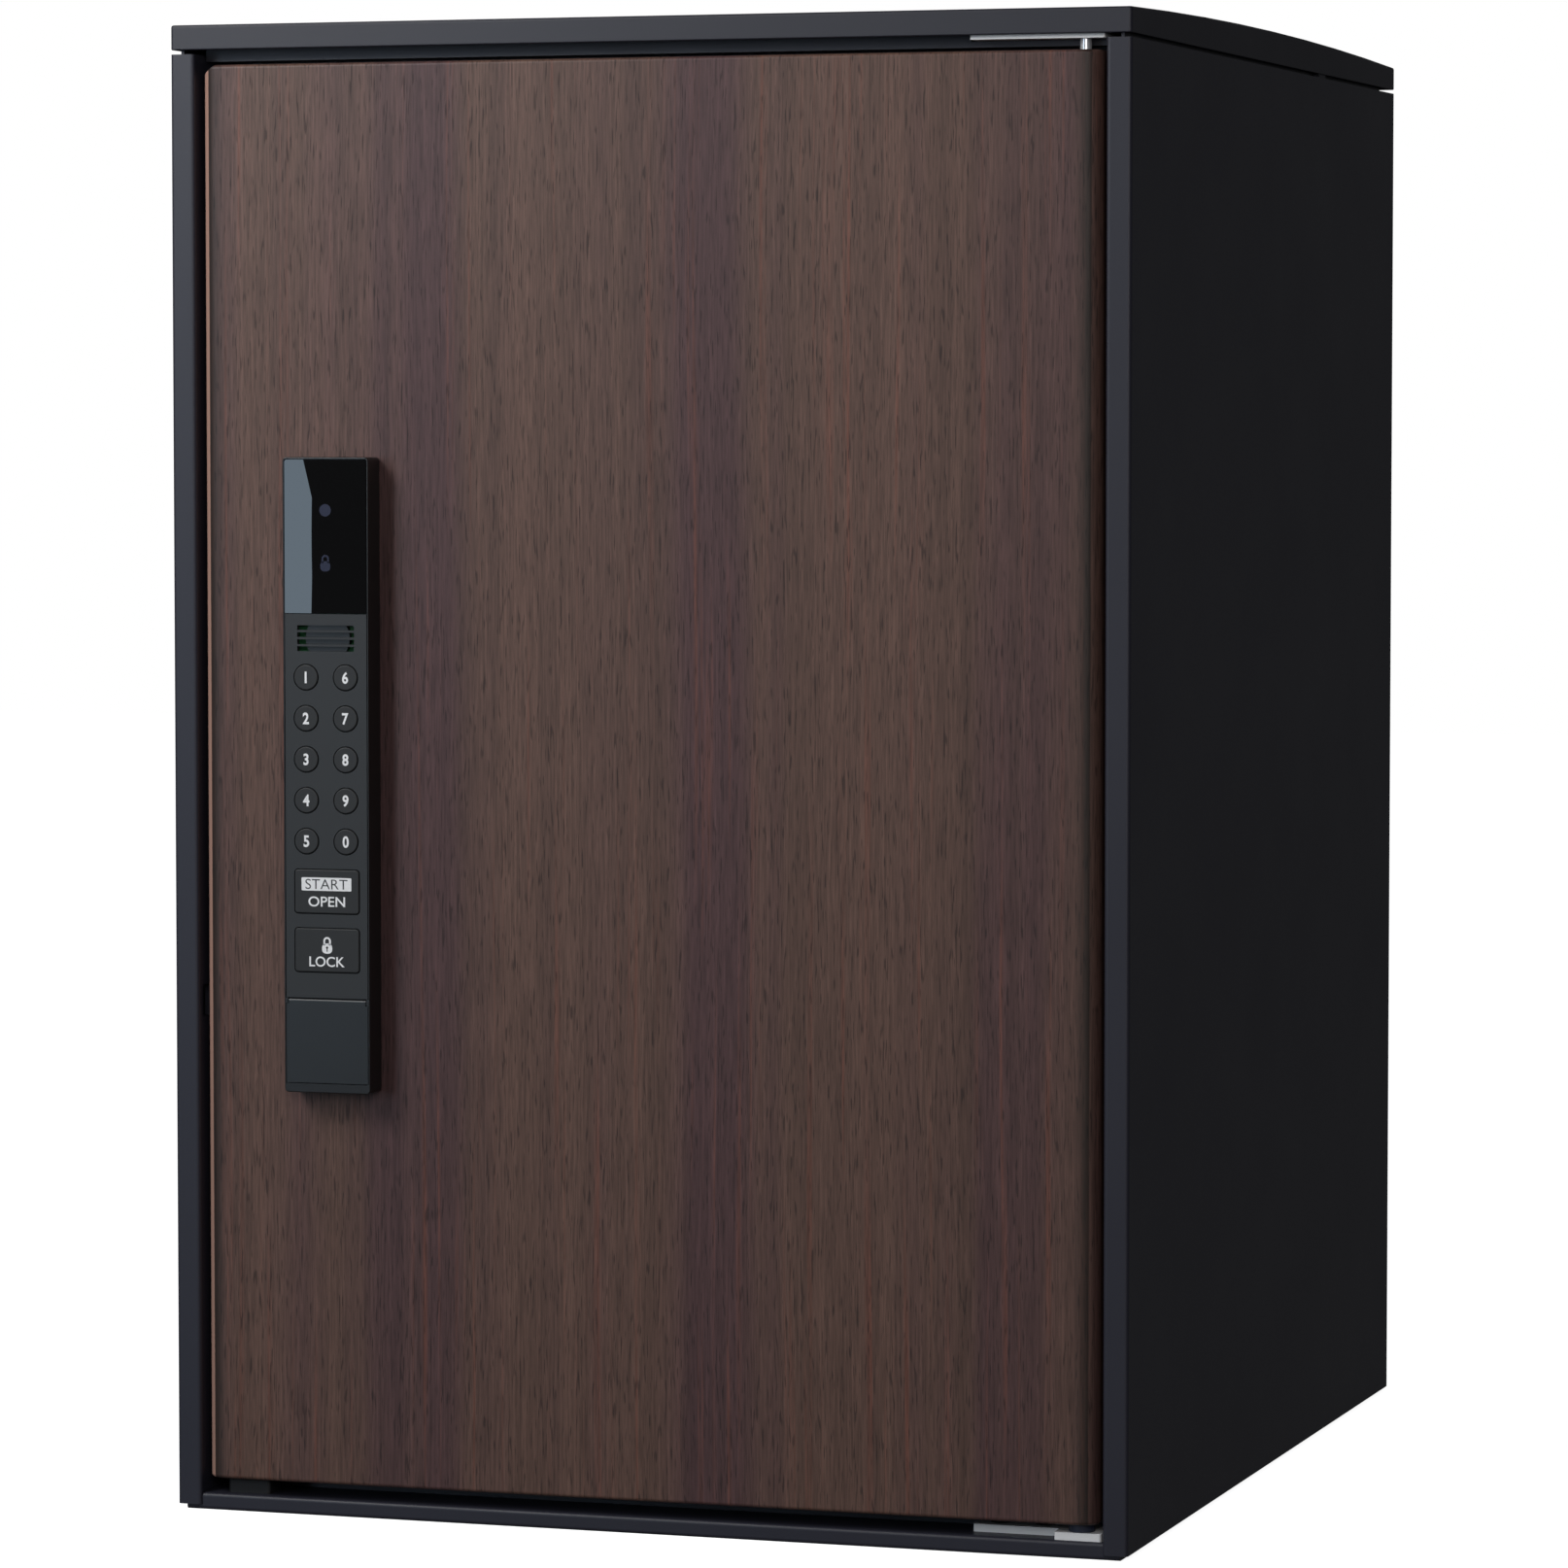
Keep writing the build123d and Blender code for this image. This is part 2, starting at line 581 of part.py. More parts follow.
def hinge_pins():
    lower = rod("z", PIVOT, PIN_R, (PAN_HEIGHT, DOOR_LOW + PIN_REACH))
    upper = rod("z", PIVOT, PIN_R, (DOOR_TOP - PIN_REACH, DECK))
    return [chamfer(lower.edges().sort_by(Axis.Z)[-1], PIN_EDGE),
            chamfer(upper.edges().sort_by(Axis.Z)[0], PIN_EDGE)]


def door_gasket():
    face = FRONT + DOOR_T + GASKET_FREE
    inset = LINER_INSET + GASKET_INSET
    outer = (DOOR_HALF - inset, DOOR_LOW + inset, DOOR_TOP - inset)
    ring = rounded_plate(both(outer[0]), (outer[1], outer[2]), (face, JAMB), GASKET_CORNER)
    ring -= rounded_plate(both(outer[0] - GASKET_W), (outer[1] + GASKET_W, outer[2] - GASKET_W),
                          (face - 1, JAMB + 1), GASKET_CORNER / 2)
    return ring


def strike_plate():
    x = (-OPENING - SHEET - STRIKE_T, -OPENING - SHEET)
    rim, ahead = STRIKE_RIM
    plate = block(x, (GEAR_FACE - ahead, GEAR_FACE + BOLT[0] + rim),
                  (BOLT_LOW - rim, BOLT_LOW + BOLT[1] + rim))
    return plate - bolt_hole((x[0] - 1, x[1] + 1), 2 * BOLT_SLIDE)


def catch_magnet():
    edge = -OPENING + CATCH_INSET
    return block((edge, edge + CATCH[0]), (FRONT + DOOR_T + 2 * FIT, JAMB),
                 (CATCH_HEIGHT, CATCH_HEIGHT + CATCH[1]))


def catch_plate():
    """Steel keeper on the lip of the door, in front of the magnet."""
    return block((-DOOR_HALF + CATCH_INSET, -DOOR_HALF + LINER_INSET - FIT), (LIP_BACK, FRONT + DOOR_T),
                 (CATCH_HEIGHT, CATCH_HEIGHT + CATCH[1]))


def door_bumper():
    """Rubber pad on the base below the free edge of the door."""
    wide, deep, corner = BUMPER
    x, y = -DOOR_HALF + BUMPER_INSET[0], FRONT + BUMPER_INSET[1]
    pad = block((x, x + wide), (y, y + deep), (PAN_HEIGHT, DOOR_LOW - BUMPER_GAP))
    return fillet(pad.edges().filter_by(Axis.Z), corner)


# --- door -------------------------------------------------------------------
def door_body(inset, back, roll):
    """Door outline drawn in by inset, from its face to the plane back."""
    half = DOOR_HALF - inset
    front = FRONT + inset
    body = block(both(half), (front, back), (DOOR_LOW + inset, DOOR_TOP - inset))
    uprights = [edge for edge in body.edges().filter_by(Axis.Z) if edge.center().Y < front + 0.1]
    return fillet(uprights, roll)


def corner_wedge(shift):
    """Piece cut off the top corner of the free edge, moved inwards by shift."""
    x, z = -DOOR_HALF, DOOR_TOP
    corner = [(x - 2, z + 2), (x - 2, z - CORNER_CUT[1] - shift),
              (x + shift, z - CORNER_CUT[1] - shift), (x + CORNER_CUT[0] + shift, z - shift),
              (x + CORNER_CUT[0] + shift, z + 2)]
    face = make_face(Polyline(*corner, close=True))
    return from_front(face, (FRONT - 1, FRONT + DOOR_T + 1))


def door_skin():
    """Folded pan with rolled upright edges and a lip all round its back."""
    skin = door_body(0, LIP_BACK, ROLL)
    level = [edge for edge in skin.edges()
             if min(abs(edge.center().Z - DOOR_TOP), abs(edge.center().Z - DOOR_LOW)) < 0.01]
    skin = fillet([edge for edge in level if edge.center().Y < FRONT + ROLL], DOOR_EDGE)
    skin -= door_body(SKIN, LIP_BACK - SKIN, ROLL - SKIN)
    skin -= block(both(DOOR_HALF - LIP), (LIP_BACK - 2 * SKIN, LIP_BACK + 1),
                  (DOOR_LOW + LIP, DOOR_TOP - LIP))
    skin -= corner_wedge(0)
    skin -= unit_window((FRONT - 1, FRONT + 2 * SKIN))
    skin -= bolt_hole((-DOOR_HALF - 1, -DOOR_HALF + 2 * SKIN), BOLT_SLIDE)
    skin -= rod("z", PIVOT, BUSH_R, (DOOR_LOW - 1, DOOR_LOW + 2 * SKIN))
    skin -= rod("z", PIVOT, BUSH_R, (DOOR_TOP - 2 * SKIN, DOOR_TOP + 1))
    for place in liner_screw_places():
        skin -= rod("y", place, LINER_SCREW_R, (LIP_BACK - 2 * SKIN, LIP_BACK + 1))
    for place in unit_screw_places():
        skin -= rod("y", place, UNIT_SCREW[0], (FRONT - 1, FRONT + 2 * SKIN))
    return skin


def unit_window(y):
    """Opening in the skin behind the keypad unit."""
    return block((UNIT_X - WINDOW, UNIT_X + WINDOW), y, (UNIT_LOW + CHIN, UNIT_TOP - UNIT_WALL))


def liner_screw_places():
    inset = LINER_INSET + LINER_SCREW_INSET
    low, high = DOOR_LOW + inset, DOOR_TOP - inset
    heights = [low + index * (high - low) / (LINER_SCREWS - 1) for index in range(LINER_SCREWS)]
    return [(side * (DOOR_HALF - inset), height) for side in (-1, 1) for height in heights]


def door_liner():
    half = DOOR_HALF - LINER_INSET
    low, high = DOOR_LOW + LINER_INSET, DOOR_TOP - LINER_INSET
    back = FRONT + DOOR_T
    liner = rounded_plate(both(half), (low, high), (LIP_BACK, back), LINER_CORNER)
    rim = LIP - LINER_INSET + LINER_SEAT
    liner -= block(both(half - rim), (LIP_BACK - 1, back - LINER_WEB), (low + rim, high - rim))
    liner -= battery_opening((LIP_BACK - 1, back + 1), 0)
    liner -= battery_opening((back - LINER_WEB / 2, back + 1), COVER_RIM)
    for place in liner_screw_places():
        liner -= flat_screw("y", place, back, -1, LINER_SCREW_R, LINER_T + 1)
    return liner


def battery_opening(y, rim):
    width, height = CELL_BOX
    x, z = BOX_CENTRE
    return block((x - width / 2 - rim, x + width / 2 + rim), y, (z - height / 2 - rim, z + height / 2 + rim))


def door_screws():
    """Screws of the inner cover, and those that hold the keypad unit."""
    screws = [flat_screw("y", place, FRONT + DOOR_T, -1, LINER_SCREW_R - RUNNING, 2 * LINER_T)
              for place in liner_screw_places()]
    radius, head_radius, head = UNIT_SCREW
    seat = FRONT + SKIN
    for place in unit_screw_places():
        shank = rod("y", place, radius - RUNNING, (FRONT - UNIT_SCREW_REACH, seat + head / 2))
        screws.append(shank + rod("y", place, head_radius, (seat, seat + head)))
    return screws


def unit_screw_places():
    return [(UNIT_X + side * (CAVITY + WINDOW) / 2, z) for side in (-1, 1)
            for z in (COVER_TOP + UNIT_SCREW_PLACES[0], UNIT_TOP - UNIT_SCREW_PLACES[1])]


def door_stiffeners():
    """Two upright hat channels behind the door's face."""
    front, back = FRONT + SKIN, LIP_BACK - SKIN
    z = (DOOR_LOW + LIP, DOOR_TOP - LIP)
    crown, foot = HAT
    channels = []
    for x in HAT_PLACES:
        path = [(x - crown / 2 - foot, front), (x - crown / 2, front), (x - crown / 2, back),
                (x + crown / 2, back), (x + crown / 2, front), (x + crown / 2 + foot, front)]
        channels.append(upright(folded(path, SKIN, BEND), z))
    return channels


def hinge_blocks():
    """Blocks inside the door that hold the hinge bushes."""
    length, height = BLOCK
    inner = DOOR_HALF - SKIN - FIT
    blocks = []
    for z in ((DOOR_LOW + SKIN, DOOR_LOW + SKIN + height), (DOOR_TOP - SKIN - height, DOOR_TOP - SKIN)):
        body = block((inner - length, inner), (FRONT + SKIN + FIT / 2, LIP_BACK - SKIN), z)
        corner = [edge for edge in body.edges().filter_by(Axis.Z)
                  if edge.center().Y < FRONT + 2 * SKIN + FIT and edge.center().X > inner - 1]
        body = fillet(corner, ROLL - SKIN + FIT)
        for place in liner_screw_places():
            body -= rod("y", place, LINER_SCREW_R, (FRONT + DOOR_T / 2, FRONT + DOOR_T))
        blocks.append(body - rod("z", PIVOT, BUSH_R, (z[0] - 1, z[1] + 1)))
    return blocks


def hinge_bushes():
    """Plastic bushes on the pins: flanged below, plain above."""
    lower = rod("z", PIVOT, BUSH_R, (DOOR_LOW, DOOR_LOW + SKIN + BLOCK[1]))
    lower += rod("z", PIVOT, BUSH_FLANGE_R, (PAN_HEIGHT + PLATE_T + FIT, DOOR_LOW))
    lower -= rod("z", PIVOT, PIN_R + RUNNING, (PAN_HEIGHT, DOOR_LOW + SKIN + BLOCK[1] + 1))
    upper = rod("z", PIVOT, BUSH_R, (DOOR_TOP - SKIN - BLOCK[1], DOOR_TOP))
    upper -= rod("z", PIVOT, PIN_R + RUNNING, (DOOR_TOP - SKIN - BLOCK[1] - 1, DOOR_TOP + 1))
    return [lower, upper]


def corner_plug():
    """Plastic filler that closes the cut corner from inside."""
    fill = door_body(SKIN + FIT, LIP_BACK - SKIN - FIT, ROLL - SKIN - FIT)
    reach = block((-DOOR_HALF, -DOOR_HALF + LIP), (FRONT, FRONT + DOOR_T), (DOOR_TOP - LIP, DOOR_TOP))
    plug = (fill & reach) - corner_wedge(FIT)
    for place in liner_screw_places():
        plug -= rod("y", place, LINER_SCREW_R + FIT, (FRONT, BACK))
    return plug


# --- keypad unit ------------------------------------------------------------
def unit_housing():
    x = (UNIT_X - UNIT_W / 2, UNIT_X + UNIT_W / 2)
    housing = rounded_plate(x, (UNIT_LOW, UNIT_TOP), (UNIT_FACE, UNIT_BACK), UNIT_CORNER)
    housing = fillet(housing.faces().sort_by(Axis.Y)[0].edges(), UNIT_EDGE)
    recess = (UNIT_X - RECESS, UNIT_X + RECESS)
    inside = (UNIT_X - CAVITY, UNIT_X + CAVITY)
    face_back = UNIT_FACE + FACE_T
    housing -= block(recess, (UNIT_FACE - 1, UNIT_FACE + COVER_LIP + RUNNING),
                     (COVER_LOW - FACE_GAP, WING_TOP + WING_GAP))
    housing -= rounded_plate(recess, (FACE_TOP, UNIT_TOP - UNIT_RIM), (UNIT_FACE - 1, face_back),
                             UNIT_CORNER - UNIT_RIM)
    housing -= block(recess, (UNIT_FACE - 1, face_back), (FACE_LOW - FACE_GAP / 2, DISPLAY_LOW + UNIT_CORNER))
    slot = FACE_HALF - WING
    housing -= block((UNIT_X - slot, UNIT_X + slot), (UNIT_FACE - 1, UNIT_FACE + COVER_T + FACE_GAP),
                     (COVER_LOW - FACE_GAP, FACE_LOW - FACE_GAP / 2))
    pocket = UNIT_FACE + POCKET
    housing -= block(inside, (UNIT_FACE, pocket), (COVER_LOW + FACE_LEDGE / 2, COVER_TOP - FIT))
    housing -= block(inside, (pocket + POCKET_WALL, FRONT), (UNIT_LOW + CHIN, COVER_TOP))
    housing -= block(inside, (UNIT_FACE, FRONT), (FACE_LOW + FACE_LEDGE, UNIT_TOP - UNIT_WALL))
    housing -= rod("y", (UNIT_X, PLUG_Z), PLUG_R + RUNNING, (UNIT_FACE, FRONT))
    y, z = COVER_AXIS
    end = FACE_HALF + FIT
    housing -= rod("x", (y, z), COVER_PIN_R + RUNNING, (UNIT_X - end, UNIT_X + end))
    _, deep, tall = EAR
    for place in unit_screw_places():
        side = 1 if place[0] > UNIT_X else -1
        ear = (UNIT_X + side * CAVITY, UNIT_X + side * WINDOW)
        housing += block(ear, (UNIT_BACK - deep, UNIT_BACK), (place[1] - tall / 2, place[1] + tall / 2))
        housing -= rod("y", place, UNIT_SCREW[0], (FRONT - UNIT_SCREW_REACH - 2 * FIT, FRONT))
    return housing


def unit_gasket():
    x = (UNIT_X - UNIT_W / 2 + FIT, UNIT_X + UNIT_W / 2 - FIT)
    seal = rounded_plate(x, (UNIT_LOW + FIT, UNIT_TOP - FIT), (UNIT_BACK, FRONT), UNIT_CORNER)
    seal -= unit_window((UNIT_BACK - 1, FRONT + 1))
    for place in unit_screw_places():
        seal -= rod("y", place, UNIT_SCREW[0], (UNIT_BACK - 1, FRONT + 1))
    return seal


def key_places():
    """Centres of the number keys: the left column from the top, then the right one."""
    top = DISPLAY_LOW - KEY_FIRST
    return [(UNIT_X + side * KEY_PITCH[0] / 2, top - row * KEY_PITCH[1])
            for side in (-1, 1) for row in range(KEY_ROWS)]


def wide_key_places():
    drops = {"start": START_DROP, "lock": LOCK_DROP}
    return {name: (UNIT_X + FIT, DISPLAY_LOW - drop) for name, drop in drops.items()}


def grille_heights():
    middle = DISPLAY_LOW - SLOT_DROP
    return [middle + (index - (SLOTS - 1) / 2) * SLOT_PITCH for index in range(SLOTS)]


def unit_faceplate():
    y = (UNIT_FACE, UNIT_FACE + FACE_T)
    plate = block((UNIT_X - FACE_HALF, UNIT_X + FACE_HALF), y, (FACE_LOW, FACE_TOP))
    cut = (y[0] - 1, y[1] + 1)
    for place in key_places():
        plate -= rod("y", place, KEY_R + KEY_GAP, cut)
    for x, z in wide_key_places().values():
        wide, tall = WIDE_KEY[0] / 2 + KEY_GAP, WIDE_KEY[1] / 2 + KEY_GAP
        plate -= rounded_plate((x - wide, x + wide), (z - tall, z + tall), cut, WIDE_CORNER + KEY_GAP)
    wide, tall = SLOT
    for z in grille_heights():
        plate -= block((UNIT_X - wide / 2, UNIT_X + wide / 2), cut, (z - tall / 2, z + tall / 2))
    return plate


def number_key(place):
    face = UNIT_FACE - KEY_PROUD
    cap = rod("y", place, KEY_R, (face, UNIT_FACE + KEY_DEPTH))
    cap = fillet(cap.edges().sort_by(Axis.Y)[0], KEY_EDGE)
    return cap + rod("y", place, KEY_R + KEY_FLANGE, (UNIT_FACE + FACE_T + FIT, UNIT_FACE + KEY_DEPTH))


def wide_key(place):
    x, z = place
    wide, tall = WIDE_KEY[0] / 2, WIDE_KEY[1] / 2
    face = UNIT_FACE - KEY_PROUD
    cap = rounded_plate((x - wide, x + wide), (z - tall, z + tall), (face, UNIT_FACE + KEY_DEPTH),
                        WIDE_CORNER)
    cap = fillet(cap.faces().sort_by(Axis.Y)[0].edges(), KEY_EDGE)
    wide, tall = wide + KEY_FLANGE, tall + KEY_FLANGE
    return cap + rounded_plate((x - wide, x + wide), (z - tall, z + tall),
                               (UNIT_FACE + FACE_T + FIT, UNIT_FACE + KEY_DEPTH), WIDE_CORNER)


def display_window():
    pane = block((UNIT_X - FACE_HALF, UNIT_X + FACE_HALF), (UNIT_FACE, UNIT_FACE + FACE_T),
                 (DISPLAY_LOW, DISPLAY_TOP))
    corners = [edge for edge in pane.edges().filter_by(Axis.Y) if edge.center().Z > DISPLAY_TOP - 1]
    return fillet(corners, UNIT_CORNER - UNIT_RIM)


def keypad_stack():
    """Planes of the keypad mat and the board, one behind the other."""
    mat = UNIT_FACE + KEY_DEPTH + KEY_TRAVEL + FACE_GAP
    board = mat + MAT_T
    return mat, board, board + BOARD_T


def keypad_mat():
    mat, board, _ = keypad_stack()
    low = wide_key_places()["lock"][1] - WIDE_KEY[1] / 2 - 2
    high = key_places()[0][1] + KEY_R + KEY_FLANGE
    return block((UNIT_X - CAVITY + 1, UNIT_X + CAVITY - 1), (mat, board), (low, high))


def circuit_board():
    _, front, back = keypad_stack()
    edge = CAVITY - FIT
    low, high = FACE_LOW + FACE_LEDGE + FIT, UNIT_TOP - UNIT_WALL - FIT
    board = block((UNIT_X - edge, UNIT_X + edge), (front, back), (low, high))
    notch, tall = CAVITY - EAR[0] - FIT, EAR[2] / 2 + FIT
    for place in unit_screw_places():
        side = 1 if place[0] > UNIT_X else -1
        board -= block((UNIT_X + side * notch, UNIT_X + side * HALF), (front - 1, back + 1),
                       (place[1] - tall, place[1] + tall))
    lamps = [block((UNIT_X - LED / 2, UNIT_X + LED / 2), (UNIT_FACE + FACE_T + FIT, front),
                   (DISPLAY_TOP - drop - LED / 2, DISPLAY_TOP - drop + LED / 2)) for drop in LED_DROPS]
    side, tall = CHIP
    middle = DISPLAY_LOW + CHIP_PLACE
    chip = block((UNIT_X - side / 2, UNIT_X + side / 2), (back, back + tall),
                 (middle - side / 2, middle + side / 2))
    return [board, *lamps, chip]


def speaker():
    _, board, _ = keypad_stack()
    place = (UNIT_X, DISPLAY_LOW - SLOT_DROP)
    front = UNIT_FACE + FACE_T + FIT
    radius, deep, magnet = SPEAKER
    return rod("y", place, radius, (front, front + deep)) + rod("y", place, magnet, (front, board))


def key_cover():
    """Flap over the key, turning on two moulded pins along its top edge."""
    y, z = COVER_AXIS
    lip = block((UNIT_X - FACE_HALF, UNIT_X + FACE_HALF), (UNIT_FACE, UNIT_FACE + COVER_LIP),
                (COVER_LOW, WING_TOP))
    x = (UNIT_X - COVER_HALF, UNIT_X + COVER_HALF)
    body = block(x, (UNIT_FACE, UNIT_FACE + COVER_T), (COVER_LOW, z))
    edge = rod("x", (y, z), HINGE_IN, x)
    pins = rod("x", (y, z), COVER_PIN_R, (UNIT_X - FACE_HALF, UNIT_X + FACE_HALF))
    return lip + body + edge + pins


# --- lock -------------------------------------------------------------------
def gear(place, teeth, y, phase):
    """Spur gear with involute teeth, its axis along Y."""
    pitch = MODULE * teeth / 2
    base = pitch * math.cos(PRESSURE)
    tip, root = pitch + ADDENDUM, pitch - DEDENDUM
    half_tooth = math.pi / (2 * teeth) - BACKLASH / (4 * pitch)
    involute_pitch = math.tan(PRESSURE) - PRESSURE
    flank = []
    for index in range(FLANK_STEPS + 1):
        radius = base + (tip - base) * index / FLANK_STEPS
        roll = math.sqrt((radius / base) ** 2 - 1)
        flank.append((radius, half_tooth + involute_pitch - (roll - math.atan(roll))))
    flank.insert(0, (root, flank[0][1]))
    points = []
    for tooth in range(teeth):
        middle = phase + 2 * math.pi * tooth / teeth
        for radius, angle in flank:
            points.append((radius, middle - angle))
        for radius, angle in reversed(flank):
            points.append((radius, middle + angle))
    outline = [(place[0] + r * math.cos(a), place[1] + r * math.sin(a)) for r, a in points]
    return from_front(make_face(Polyline(*outline, close=True)), y)


def lock_bolt():
    """Bar with a rack along its lower side, driven by the pinion."""
    y = (GEAR_FACE, GEAR_FACE + BOLT[0])
    tip = -DOOR_HALF + BOLT_RECESS
    end = UNIT_X + BOLT_TAIL
    bar = block((tip, end), y, (BOLT_LOW, BOLT_LOW + BOLT[1]))
    bar = chamfer([edge for edge in bar.edges() if edge.center().X < tip + 0.01], BOLT_EDGE)
    pitch = math.pi * MODULE
    line = PLUG_Z + PINION_R
    slope = math.tan(PRESSURE)
    half = pitch / 4 - BACKLASH / 4
    first = UNIT_X + pitch / 2
    ahead = math.ceil(BOLT_TRAVEL / pitch) + 1
    for index in range(-2, ahead + 1):
        middle = first + index * pitch
        low, high = line - ADDENDUM, BOLT_LOW
        tooth = [(middle - half + slope * ADDENDUM, low), (middle + half - slope * ADDENDUM, low),
                 (middle + half + slope * (high - line), high), (middle + half, high + 1),
                 (middle - half, high + 1), (middle - half - slope * (high - line), high)]
        bar += from_front(make_face(Polyline(*tooth, close=True)), (y[0], GEAR_FACE + GEAR_T))
    return bar


def lock_pinion():
    wheel = gear((UNIT_X, PLUG_Z), PINION_TEETH, (GEAR_FACE, GEAR_FACE + GEAR_T), math.pi / 2)
    return wheel - rod("y", (UNIT_X, PLUG_Z), STEM_R, (FRONT, BACK))


def motor_gear():
    phase = math.pi / 2 + (PINION_TEETH + 1) % 2 * math.pi / MOTOR_TEETH
    wheel = gear((UNIT_X, MOTOR_Z), MOTOR_TEETH, (GEAR_FACE, GEAR_FACE + GEAR_T), phase)
    return wheel - rod("y", (UNIT_X, MOTOR_Z), SHAFT_R + RUNNING, (FRONT, BACK))


def key_plug():
    place = (UNIT_X, PLUG_Z)
    face = UNIT_FACE + POCKET - PLUG_PROUD
    plug = rod("y", place, PLUG_R, (face, CHAMBER))
    plug = chamfer(plug.edges().sort_by(Axis.Y)[0], PLUG_EDGE)
    plug += rod("y", place, STEM_R, (CHAMBER, GEAR_FACE + GEAR_T))
    wide, tall, deep = KEYWAY
    return plug - block((UNIT_X - wide / 2, UNIT_X + wide / 2), (face - 1, face + deep),
                        (PLUG_Z - tall / 2, PLUG_Z + tall / 2))


def drive_motor():
    place = (UNIT_X, MOTOR_Z)
    body = rod("y", place, MOTOR_R, (CHAMBER - MOTOR_LENGTH, CHAMBER))
    return body + rod("y", place, SHAFT_R, (CHAMBER, GEAR_FACE + GEAR_T))


def case_span():
    """Outer planes of the lock case on X and Z."""
    left = -DOOR_HALF + SKIN + 2 * FIT
    right = UNIT_X + BOLT_TAIL + 2 * FIT + CASE_WALL
    low = MOTOR_Z - MOTOR_GEAR_R - ADDENDUM - FIT - CASE_WALL
    high = BOLT_LOW + BOLT[1] + BOLT_SLIDE + CASE_WALL
    return (left, right), (low, high)


def lock_case():
    x, z = case_span()
    case = block(x, (CASE_FACE, CHAMBER_BACK), z)
    corner = [edge for edge in case.edges().filter_by(Axis.Z)
              if edge.center().X < x[0] + 0.1 and edge.center().Y < CASE_FACE + 0.1]
    case = fillet(corner, ROLL)
    room = (CHAMBER, CHAMBER_BACK + 1)
    case -= block((x[0] - 1, x[1] - CASE_WALL), room, (BOLT_LOW - BOLT_SLIDE, z[1] - CASE_WALL))
    reach = PINION_R + ADDENDUM + FIT
    teeth_end = UNIT_X + BOLT_TAIL + 2 * FIT
    case -= block((UNIT_X - reach - BOLT_TRAVEL - CASE_WALL, teeth_end), room, (PLUG_Z - FIT, BOLT_LOW))
    case -= rod("y", (UNIT_X, PLUG_Z), reach, room)
    case -= rod("y", (UNIT_X, MOTOR_Z), MOTOR_GEAR_R + ADDENDUM + FIT, room)
    case -= rod("y", (UNIT_X, PLUG_Z), PLUG_R + RUNNING, (FRONT, BACK))
    case -= rod("y", (UNIT_X, MOTOR_Z), MOTOR_R, (FRONT, CHAMBER + 1))
    return case


def lock_cover():
    x, z = case_span()
    return block(x, (CHAMBER_BACK, CHAMBER_BACK + CASE_WALL), z)


# --- battery ----------------------------------------------------------------
def battery_box():
    """Open tray behind the door's face, with a rib between the cells."""
    width, height = CELL_BOX
    x, z = BOX_CENTRE
    front = FRONT + SKIN
    back = FRONT + DOOR_T - LINER_WEB
    tray = block((x - width / 2 - BOX_WALL, x + width / 2 + BOX_WALL), (front, back),
                 (z - height / 2 - BOX_WALL, z + height / 2 + BOX_WALL))
    return tray - battery_opening((front + BOX_WALL, back + 1), 0)


def battery_cells():
    """Four cells side by side, every other one turned round."""
    cells = []
    y = FRONT + SKIN + BOX_WALL + CELL_R + RUNNING
    for index in range(CELLS):
        x = BOX_CENTRE[0] + (index - (CELLS - 1) / 2) * CELL_PITCH
        up = 1 if index % 2 else -1
        low = BOX_CENTRE[1] - up * (CELL_LENGTH + CELL_NUB[1]) / 2
        body = rod("z", (x, y), CELL_R, (low, low + up * CELL_LENGTH))
        body += rod("z", (x, y), CELL_NUB[0], (low, low + up * (CELL_LENGTH + CELL_NUB[1])))
        cells.append(body)
    return cells


def battery_cover():
    """Cover let into the inner cover of the door."""
    back = FRONT + DOOR_T
    plug = battery_opening((back - LINER_WEB, back - LINER_WEB / 2), -FACE_GAP)
    lid = battery_opening((back - LINER_WEB / 2, back), COVER_RIM - FACE_GAP)
    return plug + lid


def power_cable():
    """Flat cable from the board to the battery box."""
    _, _, board = keypad_stack()
    width, thick = CABLE
    z = (BOX_CENTRE[1] - width / 2, BOX_CENTRE[1] + width / 2)
    bend_x = UNIT_X + WINDOW - 1
    bend_y = FRONT + CABLE_DEPTH
    run = block((bend_x - thick, bend_x), (board, bend_y), z)
    side = BOX_CENTRE[0] - CELL_BOX[0] / 2 - BOX_WALL
    return run + block((bend_x - thick, side), (bend_y - thick, bend_y), z)


